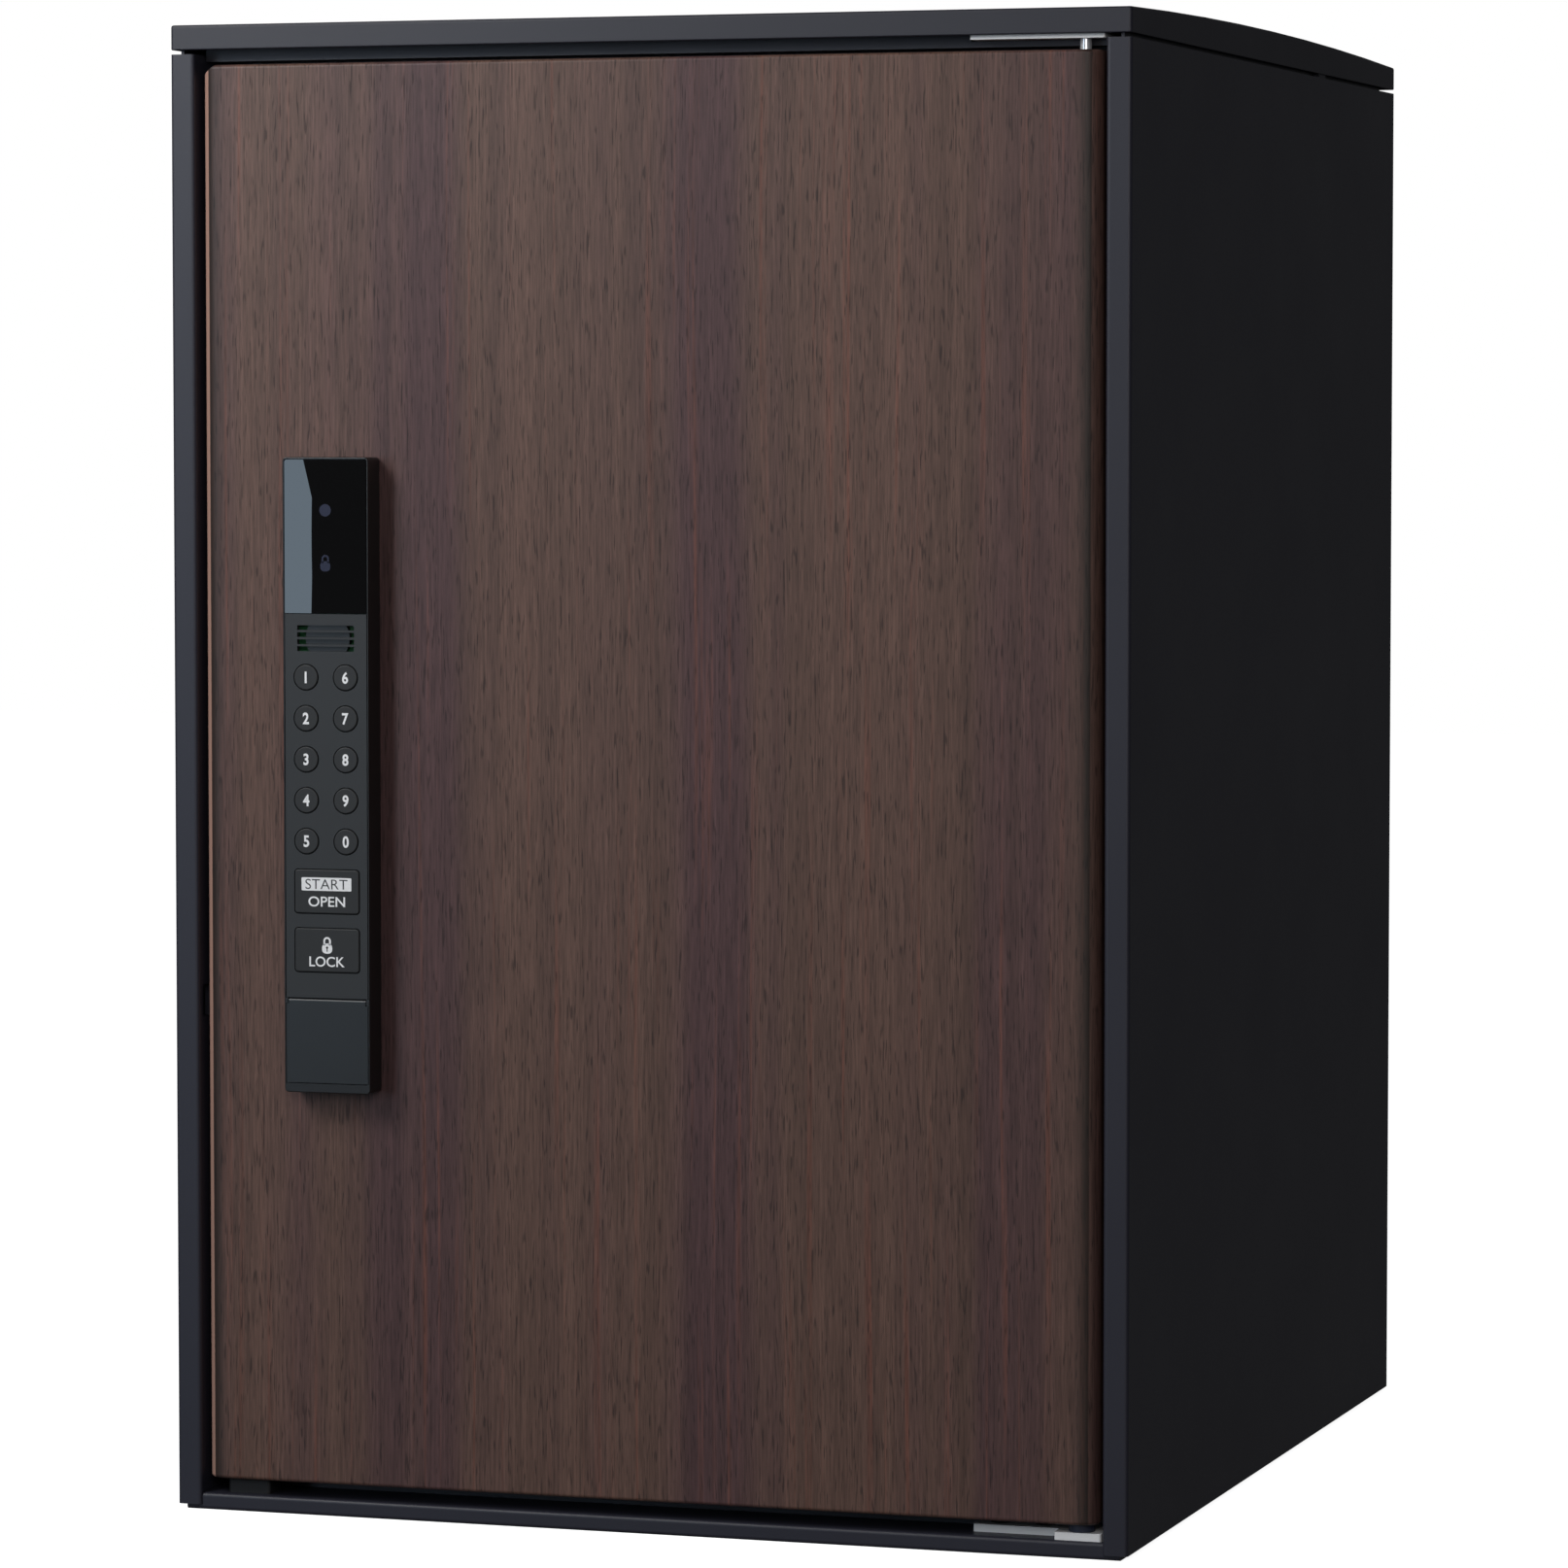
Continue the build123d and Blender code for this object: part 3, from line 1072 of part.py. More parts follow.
# --- write the pieces -------------------------------------------------------
def main():
    os.makedirs("parts", exist_ok=True)
    save("base_pan", base_pan())
    save("floor_runners", *floor_runners())
    save("floor_panel", floor_panel())
    save("floor_mat", floor_mat())
    save("side_panel_left", side_panel(-1))
    save("side_panel_right", side_panel(1))
    save("back_panel", back_panel())
    save("rear_rivets", *rear_rivets())
    save("top_panel", top_panel())
    save("spacer_strips", *spacer_strips())
    save("roof_cap", roof_cap())
    save("cabinet_screws", *cabinet_screws())
    save("top_rail", top_rail())
    bottom = hinge_plate(PAN_HEIGHT, PLATE_LOBE_W)
    save("hinge_plate_bottom", plate_bores(bottom, PAN_HEIGHT + PLATE_T, -1))
    top = hinge_plate(DECK - PLATE_T, PLATE_LENGTH)
    save("hinge_plate_top", plate_bores(top, DECK - PLATE_T, 1))
    save("hinge_pins", *hinge_pins())
    save("door_gasket", door_gasket())
    save("strike_plate", strike_plate())
    save("catch_magnet", catch_magnet())
    save("door_bumper", door_bumper())

    save("door_skin", door_skin())
    save("door_liner", door_liner())
    save("door_screws", *door_screws())
    save("door_stiffeners", *door_stiffeners())
    save("hinge_blocks", *hinge_blocks())
    save("hinge_bushes", *hinge_bushes())
    save("corner_plug", corner_plug())
    save("catch_plate", catch_plate())
    save("battery_box", battery_box())
    save("battery_cells", *battery_cells())
    save("battery_cover", battery_cover())
    save("power_cable", power_cable())

    save("unit_housing", unit_housing())
    save("unit_gasket", unit_gasket())
    save("unit_faceplate", unit_faceplate())
    save("display_window", display_window())
    save("circuit_board", *circuit_board())
    save("speaker", speaker())
    save("keypad_mat", keypad_mat())
    save("key_cover", key_cover())
    for digit, place in zip("1234567890", key_places()):
        save(f"key_{digit}", number_key(place))
    for name, place in wide_key_places().items():
        save(f"key_{name}", wide_key(place))

    save("lock_case", lock_case())
    save("lock_cover", lock_cover())
    save("lock_bolt", lock_bolt())
    save("key_plug", key_plug())
    save("lock_pinion", lock_pinion())
    save("drive_motor", drive_motor())
    save("motor_gear", motor_gear())


main()
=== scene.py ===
import json
import math

import bmesh
import bpy
import numpy as np
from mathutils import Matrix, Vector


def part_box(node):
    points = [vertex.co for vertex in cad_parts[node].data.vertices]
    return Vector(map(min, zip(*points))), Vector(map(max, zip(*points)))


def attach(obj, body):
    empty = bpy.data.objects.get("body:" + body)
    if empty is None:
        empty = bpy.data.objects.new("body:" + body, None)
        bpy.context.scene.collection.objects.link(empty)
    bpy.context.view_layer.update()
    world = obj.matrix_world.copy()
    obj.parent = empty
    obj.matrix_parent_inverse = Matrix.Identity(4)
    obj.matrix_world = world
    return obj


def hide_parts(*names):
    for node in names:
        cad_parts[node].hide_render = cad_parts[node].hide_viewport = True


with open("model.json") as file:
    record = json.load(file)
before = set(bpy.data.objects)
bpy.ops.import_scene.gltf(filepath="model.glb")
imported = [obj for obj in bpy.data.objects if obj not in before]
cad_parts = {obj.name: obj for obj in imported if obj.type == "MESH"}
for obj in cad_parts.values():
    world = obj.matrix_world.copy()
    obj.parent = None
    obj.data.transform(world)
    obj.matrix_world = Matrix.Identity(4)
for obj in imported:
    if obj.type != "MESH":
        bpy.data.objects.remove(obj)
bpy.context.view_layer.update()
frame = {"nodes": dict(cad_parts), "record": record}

# Parcel locker: finishes, lettering, seals and fasteners over the fixed frame.
# Metres, +Z up, door facing -Y. Sizes below are in millimetres times MM.
MM = 0.001


# --- finishes: a small language for node trees --------------------------------
def ink(red, green, blue):
    """A colour given in display values from 0 to 255, as a linear one."""
    share = np.array([red, green, blue]) / 255
    linear = np.where(share <= 0.04045, share / 12.92, ((share + 0.055) / 1.055) ** 2.4)
    return (*map(float, linear), 1.0)


class Signal:
    """A socket of a finish. Arithmetic on it adds Math nodes."""

    def __init__(self, finish, socket):
        self.finish, self.socket = finish, socket

    def math(self, operation, *values):
        return self.finish.node("ShaderNodeMath", {"operation": operation}, dict(enumerate(values)))

    def __add__(self, other):
        return self.math("ADD", self, other)

    def __radd__(self, other):
        return self.math("ADD", other, self)

    def __sub__(self, other):
        return self.math("SUBTRACT", self, other)

    def __rsub__(self, other):
        return self.math("SUBTRACT", other, self)

    def __mul__(self, other):
        return self.math("MULTIPLY", self, other)

    def __rmul__(self, other):
        return self.math("MULTIPLY", other, self)

    def __abs__(self):
        return self.math("ABSOLUTE", self)

    def most(self, other):
        """The greater of two signals."""
        return self.math("MAXIMUM", self, other)

    def step(self, low, high):
        """0 below low, 1 above high, and a smooth rise between."""
        return self.finish.node("ShaderNodeMapRange", {"interpolation_type": "SMOOTHSTEP"},
                                {"Value": self, "From Min": low, "From Max": high})


class Finish:
    """A material, or the world, whose nodes all come from one method."""

    def __init__(self, name, world=None):
        self.material = world or bpy.data.materials.new(name)
        self.material.use_nodes = True
        self.tree = self.material.node_tree
        self.tree.nodes.clear()

    def node(self, kind, settings=None, inputs=None, output=0):
        """Adds a node: settings first, then the values or links of its sockets."""
        made = self.tree.nodes.new(kind)
        for key, value in (settings or {}).items():
            if key == "stops":
                ramp = made.color_ramp.elements
                while len(ramp) < len(value):
                    ramp.new(0.5)
                for element, (place, colour) in zip(ramp, value):
                    element.position, element.color = place, colour
            else:
                setattr(made, key, value)
        for key, value in (inputs or {}).items():
            if isinstance(value, Signal):
                self.tree.links.new(value.socket, made.inputs[key])
            else:
                made.inputs[key].default_value = value
        return Signal(self, made.outputs[output]) if made.outputs else None

    def place(self, x=1.0, y=1.0, z=1.0):
        """The object's own coordinates, in metres, times a factor on each axis."""
        spot = self.node("ShaderNodeTexCoord", output="Object")
        return self.node("ShaderNodeVectorMath", {"operation": "MULTIPLY"}, {0: spot, 1: (x, y, z)})

    def axis(self, name):
        spot = self.node("ShaderNodeTexCoord", output="Object")
        return self.node("ShaderNodeSeparateXYZ", None, {0: spot}, output=name)

    def noise(self, vector, detail=2.0, rough=0.5, twist=0.0):
        return self.node("ShaderNodeTexNoise", None, {
            "Vector": vector, "Scale": 1.0, "Detail": detail, "Roughness": rough, "Distortion": twist})

    def mix(self, share, first, second, how="MIX"):
        """Mixes two colours by share."""
        return self.node("ShaderNodeMix", {"data_type": "RGBA", "blend_type": how},
                         {0: share, 6: first, 7: second}, output=2)

    def tone(self, colour, signal, spread):
        """A colour made lighter and darker by a signal about 0.5, by that share each way."""
        level = (signal - 0.5) * (2 * spread) + 1.0
        grey = self.node("ShaderNodeCombineColor", None, {0: level, 1: level, 2: level})
        return self.mix(1.0, colour, grey, how="MULTIPLY")

    def relief(self, height, depth, under=None):
        inputs = {"Height": height, "Distance": depth, "Strength": 1.0}
        if under is not None:
            inputs["Normal"] = under
        return self.node("ShaderNodeBump", None, inputs)

    def end(self, **sockets):
        """Closes the tree with the Principled shader."""
        named = {key.replace("_", " "): value for key, value in sockets.items()}
        shader = self.node("ShaderNodeBsdfPrincipled", None, named)
        self.node("ShaderNodeOutputMaterial", None, {"Surface": shader})
        return self.material


def coated(name, colour, gloss, grain=0.8, depth=0.02, mottle=0.05, clear=0.0, ior=1.5):
    """Powder coat or moulded plastic: grain is the size of its pebbled skin and depth its relief, in mm."""
    f = Finish(name)
    pebble = f.noise(f.place(*[1000 / grain] * 3), detail=1.5)
    cloud = f.noise(f.place(14, 14, 14), detail=3)
    rough = (cloud - 0.5) * 0.10 + (pebble - 0.5) * 0.08 + gloss
    return f.end(Base_Color=f.tone(f.tone(colour, cloud, mottle), pebble, 0.06), Roughness=rough,
                 Normal=f.relief(pebble, depth * MM), Coat_Weight=clear, Coat_Roughness=0.2, IOR=ior)


def brushed(name, colour, gloss, run, depth=0.01, bright=0.08, metal=1.0):
    """Metal with fine lines along one axis: run is the length of a line on each axis, in mm."""
    f = Finish(name)
    lines = f.noise(f.place(*[1000 / length for length in run]), detail=3, rough=0.65)
    cloud = f.noise(f.place(60, 60, 60), detail=2)
    rough = (lines - 0.5) * 0.25 + (cloud - 0.5) * 0.1 + gloss
    return f.end(Base_Color=f.tone(colour, lines, bright), Metallic=metal, Roughness=rough,
                 Normal=f.relief(lines, depth * MM))


def walnut():
    """Printed walnut film: soft upright bands, thin russet lines, close fibres and short dark pores.
    Round the left rolled edge a painted highlight makes the film paler, and beside both rolled edges lies a
    band of painted shade that fades into the face."""
    f = Finish("walnut_film")
    drift = f.noise(f.place(4, 4, 1.6), detail=2)
    x = f.axis("X") + (drift - 0.5) * 0.012
    height, depth_axis = f.axis("Z"), f.axis("Y")

    def streak(wide, tall, detail=2.0, rough=0.5):
        """Noise drawn out along the grain: wide and tall are the size of its spots in mm."""
        spot = f.node("ShaderNodeCombineXYZ", None, {
            0: x * (1000 / wide), 1: depth_axis * (1000 / wide), 2: height * (1000 / tall)})
        return f.noise(spot, detail, rough)

    broad = streak(30, 1500, detail=2)
    middle = streak(9, 700, detail=2)
    narrow = streak(2.6, 260, detail=2)
    fibre = streak(1.0, 26, detail=4, rough=0.72)
    pore = streak(0.8, 9, detail=1)
    umber, plum, russet = ink(101, 76, 66), ink(84, 60, 60), ink(112, 68, 55)
    colour = f.mix(broad.step(0.34, 0.66), umber, plum)
    colour = f.mix(narrow.step(0.58, 0.80) * 0.7, colour, russet)
    colour = f.tone(colour, middle, 0.34)
    colour = f.tone(colour, narrow, 0.20)
    colour = f.tone(colour, fibre, 1.05)
    cut = 1 - pore.step(0.28, 0.42)
    colour = f.mix(cut * 0.6, colour, ink(34, 24, 23))
    # Painted light on the rolled edges: a painted highlight on the left edge's bend, and a band of painted
    # shade beside both edges that fades into the face.
    edge = abs(f.axis("X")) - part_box("door_skin")[1].x
    free = f.axis("X").math("LESS_THAN", f.axis("X"), 0.0)
    bend = edge.step(-3.5 * MM, -2.9 * MM)
    painted_highlight = bend * free
    line = edge.step(-10.5 * MM, -3.5 * MM) * (1 - bend * 0.9)
    # Painted shade: the dark band beside the rolled edges.
    colour = f.mix(line * 0.80, colour, ink(26, 26, 24))
    # Painted highlight: the paler strip round the left rolled edge.
    colour = f.mix(painted_highlight * 0.85, colour, ink(186, 146, 130))
    return f.end(Base_Color=colour, Roughness=0.46 - (fibre - 0.5) * 0.10 + cut * 0.1,
                 Normal=f.relief(fibre, 0.02 * MM), Specular_IOR_Level=0.35)


def pane():
    """Black gloss window of the display, a little uneven so that reflections bend."""
    f = Finish("display_gloss")
    wave = f.noise(f.place(30, 30, 30), detail=1)
    dust = f.noise(f.place(900, 900, 900), detail=2)
    return f.end(Base_Color=f.tone(ink(9, 9, 10), dust, 0.3), Roughness=dust * 0.004,
                 Normal=f.relief(wave, 0.006 * MM), IOR=1.5)


def galvanised():
    """Zinc-plated sheet with its crystal spangle."""
    f = Finish("galvanised")
    crystal = f.node("ShaderNodeTexVoronoi", None, {"Vector": f.place(160, 160, 160), "Scale": 1.0},
                     output="Color")
    level = f.node("ShaderNodeSeparateColor", None, {0: crystal})
    return f.end(Base_Color=f.tone(ink(186, 190, 194), level, 0.16), Metallic=1.0,
                 Roughness=level * 0.2 + 0.34)


def board():
    """Green circuit board: copper runs under the mask."""
    f = Finish("board_green")
    runs = f.node("ShaderNodeTexBrick", {"offset": 0.35}, {
        "Vector": f.place(260, 1, 260), "Scale": 1.0, "Mortar Size": 0.08}, output="Fac")
    speck = f.noise(f.place(500, 500, 500))
    colour = f.mix(runs, ink(24, 74, 48), ink(52, 118, 74))
    return f.end(Base_Color=f.tone(colour, speck, 0.1), Roughness=speck * 0.1 + 0.3)


def printed(name, colour, glow=0.0):
    """Pad-printed ink with a faint unevenness. glow is for a lamp that shines through."""
    f = Finish(name)
    speck = f.noise(f.place(2600, 2600, 2600), detail=2)
    sockets = {"Base_Color": f.tone(colour, speck, 0.06), "Roughness": speck * 0.1 + 0.45}
    if glow:
        sockets.update(Emission_Color=f.tone(colour, speck, 0.2), Emission_Strength=glow)
    return f.end(**sockets)


FINISH = {
    "cabinet_paint": coated("cabinet_paint", ink(42, 42, 53), 0.46, grain=0.9, depth=0.014),
    "roof_paint": coated("roof_paint", ink(40, 40, 50), 0.48, grain=0.6, depth=0.012),
    "rubber_mat": coated("rubber_mat", ink(42, 42, 44), 0.72, grain=0.5, depth=0.05),
    "seal_rubber": coated("seal_rubber", ink(28, 28, 30), 0.62, grain=0.7, depth=0.03),
    "liner_plastic": coated("liner_plastic", ink(58, 58, 62), 0.5, grain=0.7, depth=0.03),
    "bush_plastic": coated("bush_plastic", ink(38, 44, 62), 0.4, grain=0.5, depth=0.01),
    "black_plastic": coated("black_plastic", ink(24, 24, 25), 0.36, grain=0.5, depth=0.012),
    "unit_grey": coated("unit_grey", ink(44, 46, 48), 0.5, grain=0.35, depth=0.014, mottle=0.03),
    "cover_grey": coated("cover_grey", ink(32, 34, 36), 0.34, grain=0.4, depth=0.008, mottle=0.03),
    "key_grey": coated("key_grey", ink(38, 39, 40), 0.52, grain=0.35, depth=0.014, mottle=0.03),
    "cell_jacket": coated("cell_jacket", ink(62, 70, 82), 0.28, grain=2.0, depth=0.01, clear=0.4),
    "cable_jacket": coated("cable_jacket", ink(150, 150, 148), 0.45, grain=0.6, depth=0.02),
    "silicone": coated("silicone", ink(96, 98, 100), 0.6, grain=0.6, depth=0.02),
    "ferrite": coated("ferrite", ink(62, 60, 60), 0.6, grain=0.4, depth=0.06, mottle=0.12),
    "stainless": brushed("stainless", ink(252, 252, 252), 0.42, (30, 0.2, 0.2), metal=0.1),
    "chrome_pin": brushed("chrome_pin", ink(244, 244, 246), 0.2, (0.3, 0.3, 12), metal=0.6),
    "zinc_screws": brushed("zinc_screws", ink(190, 192, 188), 0.34, (1.2, 1.2, 1.2)),
    "bolt_steel": brushed("bolt_steel", ink(176, 178, 182), 0.32, (26, 0.3, 0.3)),
    "brass": brushed("brass", ink(202, 168, 98), 0.28, (0.5, 8, 0.5)),
    "walnut_film": walnut(),
    "display_gloss": pane(),
    "galvanised": galvanised(),
    "board_green": board(),
    "white_ink": printed("white_ink", ink(253, 253, 253)),
    "dark_ink": printed("dark_ink", ink(34, 34, 36)),
    "lamp_blue": printed("lamp_blue", ink(7, 16, 50), glow=0.05),
}

OWN_FINISH = {"key_cover": "cover_grey", "unit_housing": "black_plastic", "strike_plate": "cabinet_paint"}
OWN_FINISH.update({name: "key_grey" for name in frame["nodes"] if name.startswith("key_")
                   and name not in ("key_cover", "key_plug")})
for row in frame["record"]["subparts"]:
    finish = FINISH[OWN_FINISH.get(row["node"], row["material_slot"])]
    for slot in frame["nodes"][row["node"]].material_slots:
        slot.material = finish


# --- shapes ---------------------------------------------------------------------
def quads(rows, columns, ring_rows=False, ring_columns=True):
    """Corner numbers of the faces of a grid of points, whose last row or column may join the first."""
    row = np.arange(rows if ring_rows else rows - 1)[:, None]
    column = np.arange(columns if ring_columns else columns - 1)[None, :]
    below, beside = (row + 1) % rows, (column + 1) % columns
    corners = [row * columns + column, row * columns + beside,
               below * columns + beside, below * columns + column]
    return np.stack(np.broadcast_arrays(*corners), -1).reshape(-1, 4)


def fit_out(name, points, faces, body, finish, slot=None, crease=35):
    """Makes the piece's mesh, closes its poles, turns its faces outwards and lets it ride on a body."""
    mesh = bpy.data.meshes.new(name)
    corners = np.asarray(points).reshape(-1, 3).tolist()
    mesh.from_pydata(corners, [], [list(map(int, face)) for face in faces])
    work = bmesh.new()
    work.from_mesh(mesh)
    bmesh.ops.remove_doubles(work, verts=work.verts, dist=1e-7)
    bmesh.ops.recalc_face_normals(work, faces=work.faces)
    work.to_mesh(mesh)
    work.free()
    mesh.shade_smooth()
    mesh.set_sharp_from_angle(angle=math.radians(crease))
    piece = bpy.data.objects.new(name, mesh)
    bpy.context.scene.collection.objects.link(piece)
    mesh.materials.append(FINISH[finish])
    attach(piece, body)
    return piece


def plates(outlines, front, thick):
    """Raised flat plates: each closed outline of (x, z) points is carried from the face along -Y."""
    points, faces, start = [], [], 0
    for outline in outlines:
        count = len(outline)
        for y in (front, front - thick):
            points.append(np.column_stack([outline[:, 0], np.full(count, y), outline[:, 1]]))
        faces += [list(range(start, start + count)), list(range(start + count, start + 2 * count))[::-1]]
        faces += (quads(2, count) + start).tolist()
        start += 2 * count
    return np.concatenate(points), faces


def oval(x, z, wide, tall, power=2.0, count=40):
    """Superellipse about (x, z): |u|^power + |v|^power = 1, scaled to its half width and height."""
    angle = np.linspace(0, 2 * np.pi, count, endpoint=False)
    u, v = np.cos(angle), np.sin(angle)
    size = (np.abs(u) ** power + np.abs(v) ** power) ** (-1 / power)
    return np.column_stack([x + wide * u * size, z + tall * v * size])


def arch(x, foot, top, half, bar, count=18):
    """Outline of a shackle: a bar of even width up, round a half circle and down, about x."""
    turn = np.linspace(np.pi, 0, count)
    middle = top - half
    outer = np.column_stack([x + half * np.cos(turn), middle + half * np.sin(turn)])
    inner = np.column_stack([x + (half - bar) * np.cos(turn), middle + (half - bar) * np.sin(turn)])
    outer = np.vstack([[x - half, foot], outer, [x + half, foot]])
    inner = np.vstack([[x - half + bar, foot], inner, [x + half - bar, foot]])
    return np.vstack([outer, inner[::-1]])


def padlock(x, low, tall):
    """Outlines of a generic padlock: round body and shackle, and its keyhole."""
    wide = tall * 0.33
    body = oval(x, low + tall * 0.30, wide, tall * 0.31, power=2.6)
    loop = arch(x, low + tall * 0.5, low + tall, wide * 0.74, wide * 0.36)
    hole = oval(x, low + tall * 0.36, tall * 0.075, tall * 0.075)
    slit = oval(x, low + tall * 0.24, tall * 0.035, tall * 0.13, power=4)
    return [body, loop], [hole, slit]


def lettering(name, text, x, z, wide, tall, front, body, finish, weight=0.0, proud=0.04 * MM):
    """A word as a thin print on a face that looks along -Y, its outlines made a mesh and then stretched
    to the given width and height about (x, z). A width of None keeps the letters' own shape, drawn in
    a little."""
    curve = bpy.data.curves.new(name, "FONT")
    curve.body, curve.offset, curve.resolution_u, curve.extrude = text, weight, 6, 0.5
    holder = bpy.data.objects.new(name, curve)
    bpy.context.scene.collection.objects.link(holder)
    bpy.context.view_layer.update()
    mesh = bpy.data.meshes.new_from_object(holder.evaluated_get(bpy.context.evaluated_depsgraph_get()))
    bpy.data.objects.remove(holder)
    points = np.zeros(len(mesh.vertices) * 3)
    mesh.vertices.foreach_get("co", points)
    points = points.reshape(-1, 3)
    low, high = points.min(0), points.max(0)
    up = tall / (high[1] - low[1])
    along = wide / (high[0] - low[0]) if wide else up * 0.86
    middle = (low + high) / 2
    placed = np.column_stack([x + (points[:, 0] - middle[0]) * along, front - (points[:, 2] + 0.5) * proud,
                              z + (points[:, 1] - middle[1]) * up])
    mesh.vertices.foreach_set("co", placed.ravel())
    mesh.name = name
    mesh.update()
    piece = bpy.data.objects.new(name, mesh)
    bpy.context.scene.collection.objects.link(piece)
    mesh.materials.clear()
    mesh.materials.append(FINISH[finish])
    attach(piece, body)
    return piece


# --- print on the keys and the display ---------------------------------------
def face_of(node):
    """Middle x, middle z, front plane and height of a piece that faces -Y."""
    low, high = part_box(node)
    return (low.x + high.x) / 2, (low.z + high.z) / 2, low.y, high.z - low.z


for digit in "1234567890":
    x, z, front, _ = face_of(f"key_{digit}")
    lettering(f"digit_{digit}", digit, x, z, None, 4.6 * MM, front, f"button_{digit}", "white_ink",
              weight=0.03)

KEY_TOP = 17.2 / 2 * MM            # from a wide key's middle to its upper edge
x, z, front, _ = face_of("key_start")
label = oval(x - 0.1 * MM, z + KEY_TOP - 5.7 * MM, 10.45 * MM, 2.6 * MM, power=40, count=96)
fit_out("start_label", *plates([label], front, 0.04 * MM), "button_start", "white_ink")
lettering("start_word", "START", x - 0.1 * MM, z + KEY_TOP - 5.7 * MM, 17.6 * MM, 3.9 * MM,
          front - 0.04 * MM, "button_start", "dark_ink", weight=-0.006)
lettering("open_word", "OPEN", x, z + KEY_TOP - 12.5 * MM, 15.4 * MM, 4.0 * MM, front,
          "button_start", "white_ink", weight=0.012)

x, z, front, _ = face_of("key_lock")
solid, cut = padlock(x + 0.1 * MM, z + KEY_TOP - 9.8 * MM, 6.5 * MM)
fit_out("lock_sign", *plates(solid, front, 0.04 * MM), "button_lock", "white_ink")
fit_out("lock_sign_hole", *plates(cut, front - 0.04 * MM, 0.02 * MM), "button_lock", "key_grey")
lettering("lock_word", "LOCK", x, z + KEY_TOP - 13.0 * MM, 14.8 * MM, 4.0 * MM, front,
          "button_lock", "white_ink", weight=0.012)

x, _, front, _ = face_of("display_window")
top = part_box("display_window")[1].z
dot = oval(x, top - 19.7 * MM, 2.4 * MM, 2.4 * MM)
fit_out("lamp_dot", *plates([dot], front, 0.02 * MM), "door", "lamp_blue")
solid, cut = padlock(x, top - 43.4 * MM, 6.4 * MM)
fit_out("lamp_lock", *plates(solid, front, 0.02 * MM), "door", "lamp_blue")


# --- seal round the opening ---------------------------------------------------
def seal_ring():
    """Bulb seal: a flat foot and a rounded bulb, carried round a rectangle with round corners.
    At offset u from its centre line a corner's radius is r + u about a fixed centre."""
    low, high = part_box("door_gasket")
    foot, tip = high.y, low.y
    half_wide, radius = 4.0 * MM, 4.4 * MM
    angle = np.linspace(0, np.pi, 13)
    swell = 0.32 + 0.68 * np.sin(angle) ** 0.8
    bulb = np.column_stack([3.1 * MM * np.cos(angle), foot - swell * (foot - tip)])
    lips = np.array([[half_wide, foot], [half_wide, foot - 1.0 * MM], [3.3 * MM, foot - 1.2 * MM]])
    profile = np.vstack([lips, bulb, lips[::-1] * [-1, 1]])
    turn = np.linspace(0, np.pi / 2, 9)
    corners = []
    for index, (side_x, side_z) in enumerate([(1, 1), (-1, 1), (-1, -1), (1, -1)]):
        centre = ((low.x + high.x) / 2 + side_x * ((high.x - low.x) / 2 - half_wide - radius),
                  (low.z + high.z) / 2 + side_z * ((high.z - low.z) / 2 - half_wide - radius))
        corners += [(*centre, a + index * np.pi / 2) for a in turn]
    cx, cz, a = np.array(corners).T
    reach = radius + profile[:, :1]
    points = np.stack([cx + reach * np.cos(a), np.broadcast_to(profile[:, 1:], (len(profile), len(a))),
                       cz + reach * np.sin(a)], -1)
    faces = quads(len(profile), len(a), ring_rows=True)
    ring = fit_out("seal_ring", points, faces, "cabinet", "seal_rubber", slot="seal_rubber", crease=50)
    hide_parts("door_gasket")


seal_ring()


# --- ribs of the rubber mat ---------------------------------------------------
ANCHORS = (150 * MM, 160 * MM)     # the floor's anchor holes, from its middle


def mat_ribs(pitch=5.0 * MM, wide=2.6 * MM, tall=0.5 * MM, hole=9.0 * MM):
    """Low ribs from front to back: a half ellipse carried along Y, stopped short at the anchor holes."""
    low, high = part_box("floor_mat")
    margin = 4 * MM
    count = int((high.x - low.x - 2 * margin) / pitch)
    places = (np.arange(count + 1) - count / 2) * pitch
    runs = []
    for x in places:
        stops = [low.y + margin]
        if min(abs(x - ANCHORS[0]), abs(x + ANCHORS[0])) < hole + wide:
            stops += [-ANCHORS[1] - hole - wide, -ANCHORS[1] + hole + wide,
                      ANCHORS[1] - hole - wide, ANCHORS[1] + hole + wide]
        stops.append(high.y - margin)
        runs += [(x, *pair) for pair in zip(stops[::2], stops[1::2])]
    x, start, end = np.array(runs).T[:, :, None, None]
    angle = np.linspace(0, np.pi, 6)[None, None, :]
    y = np.stack([start, start + wide / 2, end - wide / 2, end], 1)[..., 0]
    rise = np.array([0.0, 1.0, 1.0, 0.0])[None, :, None]
    across = x + wide / 2 * np.cos(angle) * np.ones_like(rise)
    up = high.z - 0.05 * MM + tall * np.sin(angle) * rise
    points = np.stack(np.broadcast_arrays(across, y, up), -1)
    one = quads(4, 6, ring_columns=False)
    faces = (one[None] + np.arange(len(runs))[:, None, None] * 24).reshape(-1, 4)
    fit_out("mat_ribs", points, faces, "cabinet", "rubber_mat", slot="rubber_mat")


mat_ribs()


